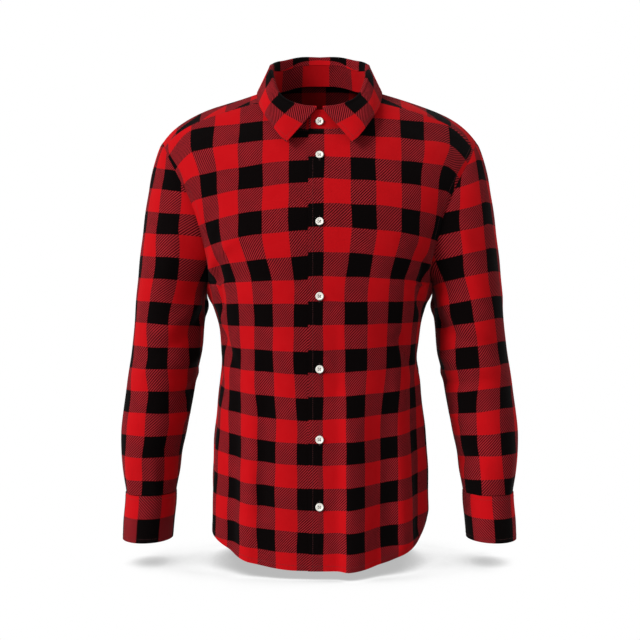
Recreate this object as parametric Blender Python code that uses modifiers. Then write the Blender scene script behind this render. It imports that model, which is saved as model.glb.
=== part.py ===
"""Flannel shirt in buffalo check, filled out as if worn, with no wearer.

Metres, +Z up, the front faces -Y and the wearer's left is +X. The origin is where the shirt is
held up: midway between the sides of the neck, on the shoulders.
Every panel is an open sheet on one body surface or one sleeve surface, thickened inward.
"""

import math
from collections import namedtuple

import bmesh
import bpy
import numpy as np
from mathutils import Vector

OBJECT = "flannel_shirt"
CLOTH = 0.0015        # wall of a single layer
BAND = 0.0022         # wall of stand, fall and cuffs
SEAM = 0.0005         # between two pieces at a seam

UNDERARM_Z = -0.293
HEM_Z = {"front": -0.690, "back": -0.698}
HEM_RISE = 0.080      # how much higher the hem is at the side seams
LAP = 0.0158          # each front edge runs this far past the centre line
LAP_STEP = 0.0028     # the under front lies this far behind the upper one

# Body below the underarm, row by row upward.
Low = namedtuple("Low", "z half front back square")
LOWER = (
    Low(-0.700, 0.1585, 0.1240, 0.1180, 2.30),
    Low(-0.640, 0.1600, 0.1265, 0.1195, 2.30),
    Low(-0.580, 0.1595, 0.1270, 0.1195, 2.30),
    Low(-0.525, 0.1570, 0.1260, 0.1175, 2.30),
    Low(-0.475, 0.1525, 0.1245, 0.1145, 2.30),
    Low(-0.430, 0.1485, 0.1240, 0.1120, 2.35),
    Low(-0.395, 0.1465, 0.1245, 0.1110, 2.40),
    Low(-0.360, 0.1490, 0.1255, 0.1120, 2.45),
    Low(-0.330, 0.1560, 0.1262, 0.1145, 2.50),
    Low(-0.310, 0.1612, 0.1265, 0.1165, 2.50),
    Low(-0.293, 0.1630, 0.1265, 0.1180, 2.50),
)

# Body above the underarm: each row runs from the centre line (height, depth there) out to the
# armhole edge. Reach is how far round the side the row gets, 1 being all the way.
High = namedtuple("High", "level z depth edge_x edge_y edge_z square reach")
UPPER = {
    "front": (
        High(1.00, -0.293, -0.1265, 0.1630, 0.0000, -0.293, 2.50, 1.000),
        High(1.09, -0.268, -0.1262, 0.1612, -0.0350, -0.281, 2.55, 0.985),
        High(1.20, -0.235, -0.1245, 0.1635, -0.0570, -0.257, 2.60, 0.960),
        High(1.32, -0.200, -0.1200, 0.1690, -0.0665, -0.227, 2.60, 0.935),
        High(1.44, -0.165, -0.1118, 0.1768, -0.0675, -0.197, 2.60, 0.915),
        High(1.56, -0.130, -0.1005, 0.1880, -0.0630, -0.169, 2.55, 0.900),
        High(1.67, -0.095, -0.0870, 0.2010, -0.0540, -0.144, 2.50, 0.890),
        High(1.76, -0.0705, -0.0745, 0.2125, -0.0430, -0.123, 2.45, 0.880),
        High(1.85, -0.046, -0.0580, 0.2230, -0.0300, -0.105, 2.40, 0.870),
        High(1.93, -0.010, -0.0340, 0.2310, -0.0140, -0.089, 2.40, 0.870),
        High(2.00, 0.0144, 0.0040, 0.2360, 0.0040, -0.078, 2.40, 0.870),
    ),
    "back": (
        High(1.00, -0.293, 0.1180, 0.1630, 0.0000, -0.293, 2.50, 1.000),
        High(1.09, -0.268, 0.1200, 0.1620, 0.0350, -0.283, 2.55, 0.985),
        High(1.20, -0.235, 0.1220, 0.1650, 0.0600, -0.259, 2.60, 0.960),
        High(1.32, -0.200, 0.1225, 0.1710, 0.0720, -0.227, 2.60, 0.935),
        High(1.44, -0.160, 0.1205, 0.1790, 0.0750, -0.192, 2.60, 0.915),
        High(1.56, -0.115, 0.1140, 0.1900, 0.0710, -0.160, 2.55, 0.900),
        High(1.67, -0.070, 0.1030, 0.2040, 0.0600, -0.132, 2.50, 0.890),
        High(1.76, -0.024, 0.0880, 0.2160, 0.0460, -0.113, 2.45, 0.880),
        High(1.85, 0.0222, 0.0665, 0.2265, 0.0310, -0.098, 2.40, 0.870),
        High(1.93, 0.0185, 0.0380, 0.2325, 0.0170, -0.086, 2.40, 0.870),
        High(2.00, 0.0144, 0.0040, 0.2360, 0.0040, -0.078, 2.40, 0.870),
    ),
}
FRONT_SEAM = 1.93     # level of the yoke's seam on each front
BACK_SEAM = 1.65      # level of the yoke's seam on the back

# The neckline is an oval seen from above, squarer in front.
NECK_HALF, NECK_FRONT, NECK_BACK = 0.0740, 0.0750, 0.0660
NECK_SQUARE = 2.8

# Largest folds of the body: a ridge from one point to another on the panel, as (distance round
# from the centre, height), with its half width and how far it stands out; a trough is negative.
Fold = namedtuple("Fold", "face side u0 z0 u1 z1 width height")
FOLDS = (
    Fold("front", 1, 0.040, -0.700, 0.034, -0.400, 0.017, 0.0110),
    Fold("front", 1, 0.072, -0.700, 0.064, -0.400, 0.016, -0.0060),
    Fold("front", 1, 0.140, -0.700, 0.130, -0.430, 0.020, 0.0060),
    Fold("front", -1, 0.098, -0.700, 0.088, -0.400, 0.020, 0.0055),
    Fold("front", -1, 0.128, -0.700, 0.116, -0.400, 0.018, -0.0045),
    Fold("front", -1, 0.175, -0.700, 0.160, -0.470, 0.020, 0.0050),
    Fold("front", 1, 0.215, -0.300, 0.120, -0.225, 0.012, 0.0045),
    Fold("front", -1, 0.215, -0.300, 0.115, -0.235, 0.012, 0.0045),
    Fold("front", 1, 0.215, -0.395, 0.150, -0.440, 0.013, -0.0050),
    Fold("front", -1, 0.215, -0.385, 0.150, -0.430, 0.013, -0.0050),
    Fold("back", 1, 0.070, -0.700, 0.060, -0.360, 0.022, 0.0060),
    Fold("back", -1, 0.110, -0.700, 0.085, -0.380, 0.022, 0.0060),
    Fold("back", 1, 0.215, -0.390, 0.120, -0.430, 0.015, -0.0050),
    Fold("back", -1, 0.215, -0.390, 0.110, -0.420, 0.015, -0.0050),
)

# Sleeve below the cap, row by row downward to the cuff's lower edge.
Arm = namedtuple("Arm", "z inner outer mid_y front back")
SLEEVE = (
    Arm(-0.345, 0.1730, 0.2765, 0.003, 0.0700, 0.0700),
    Arm(-0.390, 0.1765, 0.2805, 0.003, 0.0660, 0.0660),
    Arm(-0.420, 0.1830, 0.2850, 0.002, 0.0635, 0.0630),
    Arm(-0.450, 0.1880, 0.2880, 0.000, 0.0610, 0.0600),
    Arm(-0.480, 0.1930, 0.2925, -0.002, 0.0590, 0.0580),
    Arm(-0.510, 0.1990, 0.2950, -0.005, 0.0570, 0.0565),
    Arm(-0.540, 0.2050, 0.2950, -0.008, 0.0555, 0.0545),
    Arm(-0.570, 0.2085, 0.2910, -0.011, 0.0520, 0.0510),
    Arm(-0.598, 0.2130, 0.2860, -0.014, 0.0470, 0.0460),
)
CUFF = (
    Arm(-0.598, 0.2125, 0.2870, -0.014, 0.0480, 0.0470),
    Arm(-0.612, 0.2125, 0.2875, -0.015, 0.0480, 0.0470),
    Arm(-0.640, 0.2150, 0.2895, -0.018, 0.0475, 0.0465),
    Arm(-0.665, 0.2170, 0.2900, -0.020, 0.0470, 0.0460),
)
CUFF_LAP = 0.022      # the cuff's upper end covers this much of its lower end
CUFF_OPENING = 232.0  # where the lap is, degrees round from the inner seam by way of the front

# How the sleeve leaves the armhole and turns down, round it from the underarm by way of the front:
# direction and length at the armhole, and length of the run-in to the sleeve's first row.
Cap = namedtuple("Cap", "turn reach out_x out_y out_z run_in")
CAP = (
    Cap(0, 0.010, 0.50, 0.00, -0.86, 0.014),
    Cap(45, 0.016, 0.66, -0.45, -0.60, 0.030),
    Cap(90, 0.030, 0.86, -0.36, -0.36, 0.060),
    Cap(135, 0.036, 0.82, -0.24, -0.52, 0.095),
    Cap(180, 0.036, 0.64, 0.00, -0.77, 0.100),
    Cap(225, 0.036, 0.82, 0.24, -0.52, 0.095),
    Cap(270, 0.030, 0.86, 0.32, -0.38, 0.060),
    Cap(315, 0.016, 0.66, 0.40, -0.62, 0.030),
    Cap(360, 0.010, 0.50, 0.00, -0.86, 0.014),
)

STAND_HEIGHT, STAND_FRONT = 0.0300, 0.0262
STAND_LEAN = 0.0030   # the stand's top is this much nearer the neck's middle
STAND_LAP = 0.0155

# The fall, round from the centre front to the centre back on one side: how high the roll stands
# over the stand, and where its free edge lies.
Fall = namedtuple("Fall", "turn roll edge_x edge_y edge_z swell")
FALL = (
    Fall(1.2, 0.0010, 0.0462, -0.1000, -0.0955, 0.000),
    Fall(24, 0.0040, 0.0580, -0.0925, -0.0830, 0.002),
    Fall(46, 0.0050, 0.0730, -0.0760, -0.0610, 0.003),
    Fall(70, 0.0040, 0.0862, -0.0480, -0.0365, 0.001),
    Fall(96, 0.0055, 0.0935, -0.0040, -0.0042, 0.000),
    Fall(120, 0.0095, 0.0850, 0.0390, 0.0065, 0.003),
    Fall(146, 0.0108, 0.0535, 0.0725, 0.0135, 0.005),
    Fall(180, 0.0100, 0.0000, 0.0820, 0.0125, 0.005),
)

BUTTON_RADIUS, BUTTON_THICK = 0.0056, 0.0028
BUTTON_Z = (-0.1135, -0.2100, -0.3125, -0.4125, -0.5090, -0.6010)

ROWS_LOW, COLUMNS = 13, 10      # of a panel's grid below the underarm, and across it

RED = (0.42, 0.012, 0.016, 1)
CREAM = (0.80, 0.77, 0.70, 1)


for old in list(bpy.data.objects):
    bpy.data.objects.remove(old, do_unlink=True)
parts = bpy.data.collections.new(OBJECT)
bpy.context.scene.collection.children.link(parts)


# ---- reading the tables ---------------------------------------------------------------------

def smooth(knots, values, at):
    """The values between a table's rows, on a smooth curve through them."""
    knots, values, at = (np.asarray(v, float) for v in (knots, values, at))
    slopes = np.gradient(values, knots)
    i = np.clip(np.searchsorted(knots, at) - 1, 0, len(knots) - 2)
    step = knots[i + 1] - knots[i]
    t = np.clip((at - knots[i]) / step, 0, 1)
    return (
        values[i] * (1 + 2 * t) * (1 - t) ** 2
        + slopes[i] * step * t * (1 - t) ** 2
        + values[i + 1] * t * t * (3 - 2 * t)
        - slopes[i + 1] * step * t * t * (1 - t)
    )


def read(table, key, name, at):
    return smooth([getattr(r, key) for r in table], [getattr(r, name) for r in table], at)


# ---- the body surface -----------------------------------------------------------------------

def sign_of(face):
    return -1.0 if face == "front" else 1.0


def numbers(face, across, level):
    """Centre height and depth, edge point, squareness and reach of the row at each place."""
    hem = HEM_Z[face] + HEM_RISE * np.abs(across) ** 2.6
    z = UNDERARM_Z + (hem - UNDERARM_Z) * (1 - np.minimum(level, 1))
    depth = sign_of(face) * read(LOWER, "z", face, z)
    half = read(LOWER, "z", "half", z)
    low = (z, depth, half, 0 * z, z, read(LOWER, "z", "square", z), 1 + 0 * z)
    high = [read(UPPER[face], "level", k, np.maximum(level, 1)) for k in High._fields[1:]]
    return [np.where(level < 1, a, b) for a, b in zip(low, high)]


def on_row(row, part):
    """The point at a part (0 to 1, by angle) of a row, from the centre to its edge."""
    z, depth, edge_x, edge_y, edge_z, square, reach = row
    last = np.arcsin(np.minimum(reach ** (square / 2), 1))
    angle = np.clip(part, 0, 1) * last
    out = np.sin(angle) ** (2 / square) / reach
    back = (1 - np.cos(angle) ** (2 / square)) / (1 - np.cos(last) ** (2 / square))
    soft = (np.hypot(out, 0.2) - 0.2) / (np.hypot(1, 0.2) - 0.2)
    drop = 0.70 * soft + 0.30 * out**9
    return edge_x * out, depth + (edge_y - depth) * back, z + (edge_z - z) * drop


class Face:
    """One face of the body, front or back: places on it by share of the way round from the centre
    to the side or armhole (negative on the wearer's right) and by level, hem 0, underarm 1 and
    shoulder 2."""

    STEPS, LEVELS = 120, 121

    def __init__(self, face):
        self.face = face
        self.levels = np.linspace(0, 2, self.LEVELS)
        self.shares = np.linspace(0, 1, 61)
        part = np.linspace(0, 1, self.STEPS + 1) ** 1.3
        level = self.levels[:, None] + 0 * part
        guess = part + 0 * level
        x, y, _ = on_row(numbers(face, guess, level), guess)
        length = np.hypot(np.diff(x), np.diff(y)).cumsum(1)
        length = np.concatenate([0 * length[:, :1], length], 1)
        self.width = length[:, -1]
        self.parts = np.array(
            [np.interp(self.shares, s / s[-1], part) for s in length])

    def place(self, across, level):
        """Points on the smooth surface."""
        across, level = np.broadcast_arrays(np.asarray(across, float), np.asarray(level, float))
        share = np.abs(across)
        i = np.clip(level / 2 * (self.LEVELS - 1), 0, self.LEVELS - 1.001)
        j = np.clip(share * 60, 0, 59.999)
        a, b = i.astype(int), j.astype(int)
        f, g = i - a, j - b
        p = self.parts
        part = (p[a, b] * (1 - f) * (1 - g) + p[a + 1, b] * f * (1 - g)
                + p[a, b + 1] * (1 - f) * g + p[a + 1, b + 1] * f * g)
        x, y, z = on_row(numbers(self.face, share, level), part)
        return np.stack([x * np.where(across < 0, -1, 1), y, z], -1)

    def round_at(self, level):
        """Distance round from the centre line to the edge."""
        return np.interp(level, self.levels, self.width)

    def normal(self, across, level):
        """Outward unit normals."""
        d = 2e-3
        u = self.place(across + d, level) - self.place(across - d, level)
        low, high = np.clip(level - d, 0, 2), np.clip(level + d, 0, 2)
        v = self.place(across, high) - self.place(across, low)
        n = np.cross(u, v) * -sign_of(self.face)
        return n / np.maximum(np.linalg.norm(n, axis=-1, keepdims=True), 1e-12)

    def cloth(self, across, level, lift=0.0):
        """Points on the cloth, with its folds, moved out by lift."""
        base = self.place(across, level)
        u = across * self.round_at(level)
        height = np.asarray(lift, float) + 0 * u
        seam_fade = np.clip((1 - np.abs(across)) / 0.10, 0, 1)
        for f in FOLDS:
            if f.face == self.face:
                height = height + ridge(f, u * f.side, base[..., 2]) * seam_fade
        inside = np.clip(np.abs(across), 0, 1)
        return base + self.normal(np.clip(inside, 0, 0.985) * np.sign(across), level) * height[..., None]


def ridge(f, u, z):
    """How far one fold moves the cloth out at each place."""
    du, dz = f.u1 - f.u0, f.z1 - f.z0
    along = ((u - f.u0) * du + (z - f.z0) * dz) / (du * du + dz * dz)
    off = np.hypot(u - f.u0 - du * np.clip(along, 0, 1), z - f.z0 - dz * np.clip(along, 0, 1))
    fade = np.clip(1.15 - along, 0, 1) ** 0.8
    return f.height * np.exp(-((off / f.width) ** 2)) * fade


def neck_at(turn, grow=0.0):
    """Plan position on the neckline, degrees round from the centre front to the centre back,
    negative on the wearer's right."""
    a = np.radians(turn)
    ahead = np.cos(a) > 0
    power = np.where(ahead, 2 / NECK_SQUARE, 1.0)
    reach_y = np.where(ahead, NECK_FRONT, NECK_BACK) + grow
    x = (NECK_HALF + grow) * np.abs(np.sin(a)) ** power * np.sign(a)
    return x, -reach_y * np.abs(np.cos(a)) ** power * np.sign(np.cos(a))


def turn_at(x):
    """How far round the neck from the centre front a distance x from the centre line is."""
    return math.degrees(math.asin((x / NECK_HALF) ** (NECK_SQUARE / 2)))


def meet(face, x, y):
    """Where the face's surface passes over a plan position near the neck: (share, level)."""
    low, high = 1.5, 2.0
    for _ in range(40):
        level = (low + high) / 2
        row = [float(v) for v in numbers(face.face, 0.0, np.float64(level))]
        part = least_part(row, x)
        if (on_row(row, part)[1] - y) * sign_of(face.face) > 0:
            low = level
        else:
            high = level
    share = float(np.interp(part, face.parts[nearest(face.levels, level)], face.shares))
    return share, level


def nearest(values, at):
    return int(np.abs(values - at).argmin())


def least_part(row, x):
    """The part of a row at which it gets out to x."""
    low, high = 0.0, 1.0
    for _ in range(40):
        part = (low + high) / 2
        if on_row(row, part)[0] < x:
            low = part
        else:
            high = part
    return part


FRONT, BACK = Face("front"), Face("back")


def neckline(turn, grow=0.0):
    """(face, share, level) of the neckline at a turn round the neck."""
    x, y = neck_at(turn, grow)
    face = FRONT if y < UPPER["front"][-1].depth else BACK
    share, level = meet(face, x, y)
    return face, share, level


def neck_height(turn):
    face, share, level = neckline(turn)
    return float(face.place(share, level)[2])


def seam_turn():
    """How far round the neck the yoke's front seam meets the neckline."""
    low, high = 20.0, 92.0
    for _ in range(30):
        turn = (low + high) / 2
        if neckline(turn)[0] is FRONT and neckline(turn)[2] < FRONT_SEAM:
            low = turn
        else:
            high = turn
    return turn


# ---- making objects -------------------------------------------------------------------------

def material(name, colour, roughness):
    m = bpy.data.materials.new(name)
    m.use_nodes = True
    shader = m.node_tree.nodes["Principled BSDF"]
    shader.inputs["Base Color"].default_value = colour
    shader.inputs["Roughness"].default_value = roughness
    shader.inputs["Metallic"].default_value = 0.0
    return m


def sheet(name, grid, thick, colour=RED, closed=False):
    """A cloth piece: rows of points, thickened away from the side its faces look to."""
    rows, columns = grid.shape[:2]
    mesh = bpy.data.meshes.new(name)
    faces = []
    for i in range(rows - 1):
        for j in range(columns if closed else columns - 1):
            k = (j + 1) % columns
            faces.append((i * columns + j, i * columns + k,
                          (i + 1) * columns + k, (i + 1) * columns + j))
    mesh.from_pydata(grid.reshape(-1, 3).tolist(), [], faces)
    return thicken(name, mesh, thick, colour)


def thicken(name, mesh, thick, colour=RED):
    piece = bpy.data.objects.new(name, mesh)
    parts.objects.link(piece)
    mesh.materials.append(material(name, colour, 0.85))
    solid = piece.modifiers.new("Wall", "SOLIDIFY")
    solid.thickness, solid.offset = thick, -1
    return piece


def flip(mesh):
    """Turns every face to look the other way."""
    work = bmesh.new()
    work.from_mesh(mesh)
    bmesh.ops.reverse_faces(work, faces=work.faces[:])
    work.to_mesh(mesh)
    work.free()


# ---- fronts, back and yoke ------------------------------------------------------------------

# Levels of the points that panels and sleeve share round the armhole.
ARM_FRONT = np.linspace(1, FRONT_SEAM, 11)
ARM_YOKE = np.linspace(BACK_SEAM, 4 - FRONT_SEAM, 7)
ARM_BACK = np.linspace(1, BACK_SEAM, 7)


def fan(inner, outer, columns, bend=1.0):
    """Places between two lists of (share, level), one row a pair."""
    q = np.linspace(0, 1, columns)
    inner, outer = np.array(inner)[:, None], np.array(outer)[:, None]
    share = inner[..., 0] + (outer[..., 0] - inner[..., 0]) * q
    level = inner[..., 1] + (outer[..., 1] - inner[..., 1]) * q**bend
    return share, level


def edge_share(face, level, x):
    """Share of the way round at a distance x from the centre line."""
    return x / face.round_at(level)


def front(side):
    """side 1 is the wearer's left front, which laps over; -1 the right, underneath."""
    low = np.linspace(0, 1, ROWS_LOW)
    inner = [(edge_share(FRONT, v, -LAP), v) for v in (*low, *np.linspace(1, 1.60, 5)[1:])]
    outer = [(1.0, v) for v in (*low, *ARM_FRONT[1:])]
    for turn in (-turn_at(LAP), 7.0, 19.0, 36.0, 54.0, seam_turn()):
        _, share, at = neckline(abs(turn), 0.0006)
        inner.append((math.copysign(share, turn), at))
    inner[-1] = (inner[-1][0], FRONT_SEAM - 0.002)
    outer[-1] = (1.0, FRONT_SEAM - 0.002)
    share, level = fan(inner, outer, COLUMNS)
    back_off = np.where(level > 1.01, 3 * SEAM, SEAM) * np.linspace(0, 1, COLUMNS) ** 3
    share = share - back_off / FRONT.round_at(level)
    under = 0.0
    if side < 0:
        u = share * FRONT.round_at(level)
        under = -LAP_STEP * np.clip((0.042 - u) / 0.024, 0, 1)
    grid = FRONT.cloth(share * side, level, under)
    piece = sheet("front_left" if side > 0 else "front_right", grid, CLOTH)
    if side < 0:
        flip(piece.data)
    return piece


def back():
    low = np.linspace(0, 1, ROWS_LOW)
    levels = np.array([*low, *ARM_BACK[1:-1], BACK_SEAM - 0.003])[:, None]
    share = np.linspace(-1, 1, 2 * COLUMNS - 3)
    share = np.sign(share) * (np.abs(share) - SEAM / BACK.round_at(levels))
    piece = sheet("back", BACK.cloth(share, levels + 0 * share), CLOTH)
    flip(piece.data)


def over(place):
    """A point of the yoke from (share, along): along runs from the back seam at BACK_SEAM up to
    the shoulder at 2 and on down the front, to 4 - FRONT_SEAM."""
    share, along = place[..., 0], place[..., 1]
    behind = BACK.place(share, np.minimum(along, 2))
    ahead = FRONT.place(share, np.minimum(4 - along, 2))
    return np.where((along <= 2)[..., None], behind, ahead)


def yoke_half():
    """Rows of the yoke's one side, from the back seam to the front seam, neck to armhole."""
    inner = [(0.0, BACK_SEAM)]
    for turn in (180.0, 156.0, 133.0, 111.0, 90.0, seam_turn()):
        face, share, level = neckline(turn, 0.0006)
        inner.append((share if turn < 179 else 0.0, level if face is BACK else 4 - level))
    inner[-1] = (inner[-1][0], 4 - FRONT_SEAM - 0.002)
    outer = [(1.0, v) for v in ARM_YOKE]
    share, along = fan(inner, outer, COLUMNS - 1)
    share = share - np.linspace(0, 1, COLUMNS - 1) ** 3 * 0.003
    return over(np.stack([share, along], -1))


def yoke():
    grid = yoke_half()
    rows, columns = grid.shape[:2]
    mesh = bpy.data.meshes.new("yoke")
    faces = [(i * columns + j, i * columns + j + 1, (i + 1) * columns + j + 1, (i + 1) * columns + j)
             for i in range(rows - 1) for j in range(columns - 1)]
    mesh.from_pydata(grid.reshape(-1, 3).tolist(), [], faces)
    flip(mesh)
    piece = bpy.data.objects.new("yoke", mesh)
    parts.objects.link(piece)
    mesh.materials.append(material("yoke", RED, 0.85))
    mirror = piece.modifiers.new("Sides", "MIRROR")
    mirror.use_clip = mirror.use_mirror_merge = True
    mirror.merge_threshold = 0.0001
    solid = piece.modifiers.new("Wall", "SOLIDIFY")
    solid.thickness, solid.offset = CLOTH, -1


# ---- sleeves and cuffs ----------------------------------------------------------------------

LEVELS = np.linspace(1, 2, 201)
ROUND_ARM = np.concatenate([FRONT.place(1.0, LEVELS), BACK.place(1.0, LEVELS[::-1])[1:]])
WAY = np.concatenate([[0], np.linalg.norm(np.diff(ROUND_ARM, axis=0), axis=1).cumsum()])
TOP = WAY[200]


def armhole(share):
    """Points round the armhole from the underarm (0) by way of the front to the shoulder (0.5)
    and down the back (1)."""
    way = np.where(share < 0.5, share * 2 * TOP, TOP + (share * 2 - 1) * (WAY[-1] - TOP))
    return np.stack([np.interp(way, WAY, ROUND_ARM[:, k]) for k in range(3)], -1)


def armhole_shares():
    """The shares at which the panels' rows end on the armhole."""
    along = np.concatenate([ARM_FRONT, 4 - ARM_YOKE[-2::-1], 4 - ARM_BACK[-2:0:-1]])
    way = np.interp(along, np.linspace(1, 3, 401), WAY)
    return np.where(way < TOP, way / TOP / 2, 0.5 + (way - TOP) / (WAY[-1] - TOP) / 2)


def ring(table, share, z, grow=0.0):
    """Points round the arm at a height, from the inner seam by way of the front."""
    inner, outer = (read(table, "z", k, z) for k in ("inner", "outer"))
    front, rear = (read(table, "z", k, z) for k in ("front", "back"))
    a = share * 2 * math.pi
    deep = np.where(np.sin(a) >= 0, front, rear) + grow
    x = (inner + outer) / 2 - ((outer - inner) / 2 + grow) * np.cos(a)
    y = read(table, "z", "mid_y", z) - deep * np.sin(a)
    return np.stack([x, y, z + 0 * a], -1)


SLEEVE_UP = tuple(reversed(SLEEVE))
CUFF_UP = tuple(reversed(CUFF))


def cap(share, t):
    """The sleeve between the armhole (t 0) and its first full row (t 1)."""
    turn = share * 360
    start = armhole(share)
    out = np.stack([read(CAP, "turn", k, turn) for k in ("out_x", "out_y", "out_z")], -1)
    out /= np.linalg.norm(out, axis=-1, keepdims=True)
    start = start + out * SEAM
    end = ring(SLEEVE_UP, share, SLEEVE[0].z + 0 * share)
    below = ring(SLEEVE_UP, share, SLEEVE[0].z - 0.02 + 0 * share)
    down = (below - end) / np.linalg.norm(below - end, axis=-1, keepdims=True)
    p1 = start + out * read(CAP, "turn", "reach", turn)[..., None]
    p2 = end - down * read(CAP, "turn", "run_in", turn)[..., None]
    t = t[..., None]
    return (start * (1 - t) ** 3 + p1 * 3 * t * (1 - t) ** 2
            + p2 * 3 * t * t * (1 - t) + end * t**3)


def sleeve(side):
    around = armhole_shares()
    upper = [cap(around, t + 0 * around) for t in np.linspace(0, 1, 6)]
    lower = [ring(SLEEVE_UP, around, z + 0 * around)
             for z in np.linspace(SLEEVE[0].z, SLEEVE[-1].z + SEAM, 9)[1:]]
    grid = np.array(upper + lower) * (side, 1, 1)
    piece = sheet("sleeve_left" if side > 0 else "sleeve_right", grid, CLOTH, closed=True)
    if side > 0:
        flip(piece.data)


def cuff(side):
    """A band lapped over itself; its upper end lies outside the lower one."""
    turn = CUFF_OPENING / 360
    length = 2 * math.pi * 0.042
    lap = CUFF_LAP / length
    columns = 25
    share = np.linspace(turn - lap / 2, turn + 1 + lap / 2, columns)
    tuck = np.clip((share - (turn + 1 - 1.6 * lap)) / (0.8 * lap), 0, 1) * (BAND + 2 * SEAM)
    rows = [ring(CUFF_UP, share, z + 0 * share, -tuck)
            for z in np.linspace(CUFF[0].z - SEAM, CUFF[-1].z, 4)]
    piece = sheet("cuff_left" if side > 0 else "cuff_right", np.array(rows) * (side, 1, 1), BAND)
    if side > 0:
        flip(piece.data)


def placket(side):
    """The strip over the slit above the cuff, made from the sleeve's own points and moved out."""
    middle = CUFF_OPENING / 360
    share = middle + np.linspace(-0.038, 0.038, 4)
    z = np.linspace(SLEEVE[-1].z + 0.115, SLEEVE[-1].z + 2 * SEAM, 8)
    out = SEAM + CLOTH
    rows = [ring(SLEEVE_UP, share, v + 0 * share, out) for v in z]
    piece = sheet("sleeve_placket_left" if side > 0 else "sleeve_placket_right",
                  np.array(rows) * (side, 1, 1), CLOTH * 0.8)
    if side > 0:
        flip(piece.data)


# ---- collar ---------------------------------------------------------------------------------

def neck_round():
    """Height of the neckline against the turn round the neck."""
    turns = np.linspace(0, 180, 37)
    return turns, np.array([neck_height(t) for t in turns])


NECK_TURNS, NECK_HEIGHTS = neck_round()
ROUND = np.array([1.2, 5, 11, 20, 31, 43, 55, 67, 79, 91, 103, 117, 131, 147, 163, 180])


def stand_point(turn, up, out=0.0):
    """A point of the stand's outer face: turn from the centre front, negative on the wearer's
    right, and height above the neck seam."""
    x, y = neck_at(turn, out - SEAM - STAND_LEAN * up / STAND_HEIGHT)
    z = np.interp(np.abs(turn), NECK_TURNS, NECK_HEIGHTS)
    return np.stack([x, y, z + up], -1)


def stand_height(turn):
    """Lower in front than behind."""
    return STAND_FRONT + (STAND_HEIGHT - STAND_FRONT) * np.clip((np.abs(turn) - 50) / 60, 0, 1)


def stand():
    """A band round the neck: the end on the wearer's left laps over the other."""
    lap = turn_at(STAND_LAP)
    turn = np.concatenate([[-lap, -ROUND[0]], ROUND, 360 - ROUND[-2::-1],
                           [360 + ROUND[0], 360 + lap]])
    tuck = -np.clip((24 - turn) / 10, 0, 1) * (BAND + SEAM)
    signed = np.where(turn > 180, turn - 360, turn) * -1
    rows = [stand_point(signed, 0.0012 + (stand_height(signed) - 0.0012) * up, tuck)
            for up in np.linspace(0, 1, 4)]
    piece = sheet("collar_stand", np.array(rows), BAND)
    flip(piece.data)


def fall_row(turn, name):
    return read(FALL, "turn", name, np.abs(turn))


def fall():
    """The fall: up from the stand, over the roll, then out and down to its free edge."""
    turns = np.concatenate([ROUND, -ROUND[-2::-1]])
    side = np.where(turns < 0, -1.0, 1.0)
    roll = fall_row(turns, "roll")
    radius = 0.0036
    root = stand_point(turns, stand_height(turns) + 2 * SEAM, -BAND + 0.0002)
    a = np.radians(np.abs(turns))
    outward = np.stack([np.sin(a) * side, -np.cos(a), 0 * a], -1)
    up = np.array([0, 0, 1.0])
    rows = [root, root + up * roll[:, None]]
    top = root + up * roll[:, None] + outward * radius
    for bend in (50, 90, 130):
        b = math.radians(bend)
        rows.append(top - outward * radius * math.cos(b) + up * radius * math.sin(b))
    start = top + outward * radius
    edge = np.stack([fall_row(turns, "edge_x") * side, fall_row(turns, "edge_y"),
                     fall_row(turns, "edge_z")], -1)
    swell = fall_row(turns, "swell")[:, None] * outward
    for t in (0.0, 0.2, 0.45, 0.72, 1.0):
        rows.append(start + (edge - start) * t + swell * 4 * t * (1 - t))
    piece = sheet("collar", np.array(rows), BAND)
    flip(piece.data)


# ---- buttons --------------------------------------------------------------------------------

def button(name, at, facing):
    """A turned disc with a raised rim round a shallow dish."""
    r, t = BUTTON_RADIUS, BUTTON_THICK
    outline = ((0.0, 0.0), (0.70 * r, 0.0), (r, 0.45 * t), (0.93 * r, 0.92 * t),
               (0.80 * r, t), (0.60 * r, 0.70 * t), (0.0, 0.66 * t))
    mesh = bpy.data.meshes.new(name)
    mesh.from_pydata([(x, 0, z) for x, z in outline], [(i, i + 1) for i in range(len(outline) - 1)],
                     [])
    piece = bpy.data.objects.new(name, mesh)
    parts.objects.link(piece)
    mesh.materials.append(material(name, CREAM, 0.35))
    turned = piece.modifiers.new("Turned", "SCREW")
    turned.steps = turned.render_steps = 12
    turned.use_merge_vertices, turned.merge_threshold = True, 0.00005
    turned.use_normal_calculate = True
    piece.rotation_mode = "QUATERNION"
    piece.rotation_quaternion = facing.to_track_quat("Z", "Y")
    piece.location = at


def front_buttons():
    levels = np.linspace(0, 2, 801)
    line = FRONT.place(0.0, levels)[:, 2]
    for i, z in enumerate(BUTTON_Z):
        level = np.interp(z, line, levels)
        n = FRONT.normal(np.float64(0.0), level)
        at = FRONT.cloth(np.float64(0.0), level) + n * 0.0006
        button(f"button_{i + 2}", Vector(at), Vector(n))
    middle = stand_point(np.float64(0.0), np.float64(0.0090))
    button("button_1", Vector(middle) + Vector((0, -0.0006, 0)), Vector((0, -1, 0.03)))
    for side, name in ((1, "button_cuff_left"), (-1, "button_cuff_right")):
        share = np.array([CUFF_OPENING / 360])
        a = ring(CUFF_UP, share, -0.633 + 0 * share)[0]
        b = ring(CUFF_UP, share, -0.633 + 0 * share, 0.001)[0]
        n = (b - a) / np.linalg.norm(b - a)
        at = (a + n * 0.0012) * (side, 1, 1)
        button(name, Vector(at), Vector(n * (side, 1, 1)))


front(1)
front(-1)
back()
yoke()
for way in (1, -1):
    sleeve(way)
    cuff(way)
    placket(way)
stand()
fall()
front_buttons()
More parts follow.
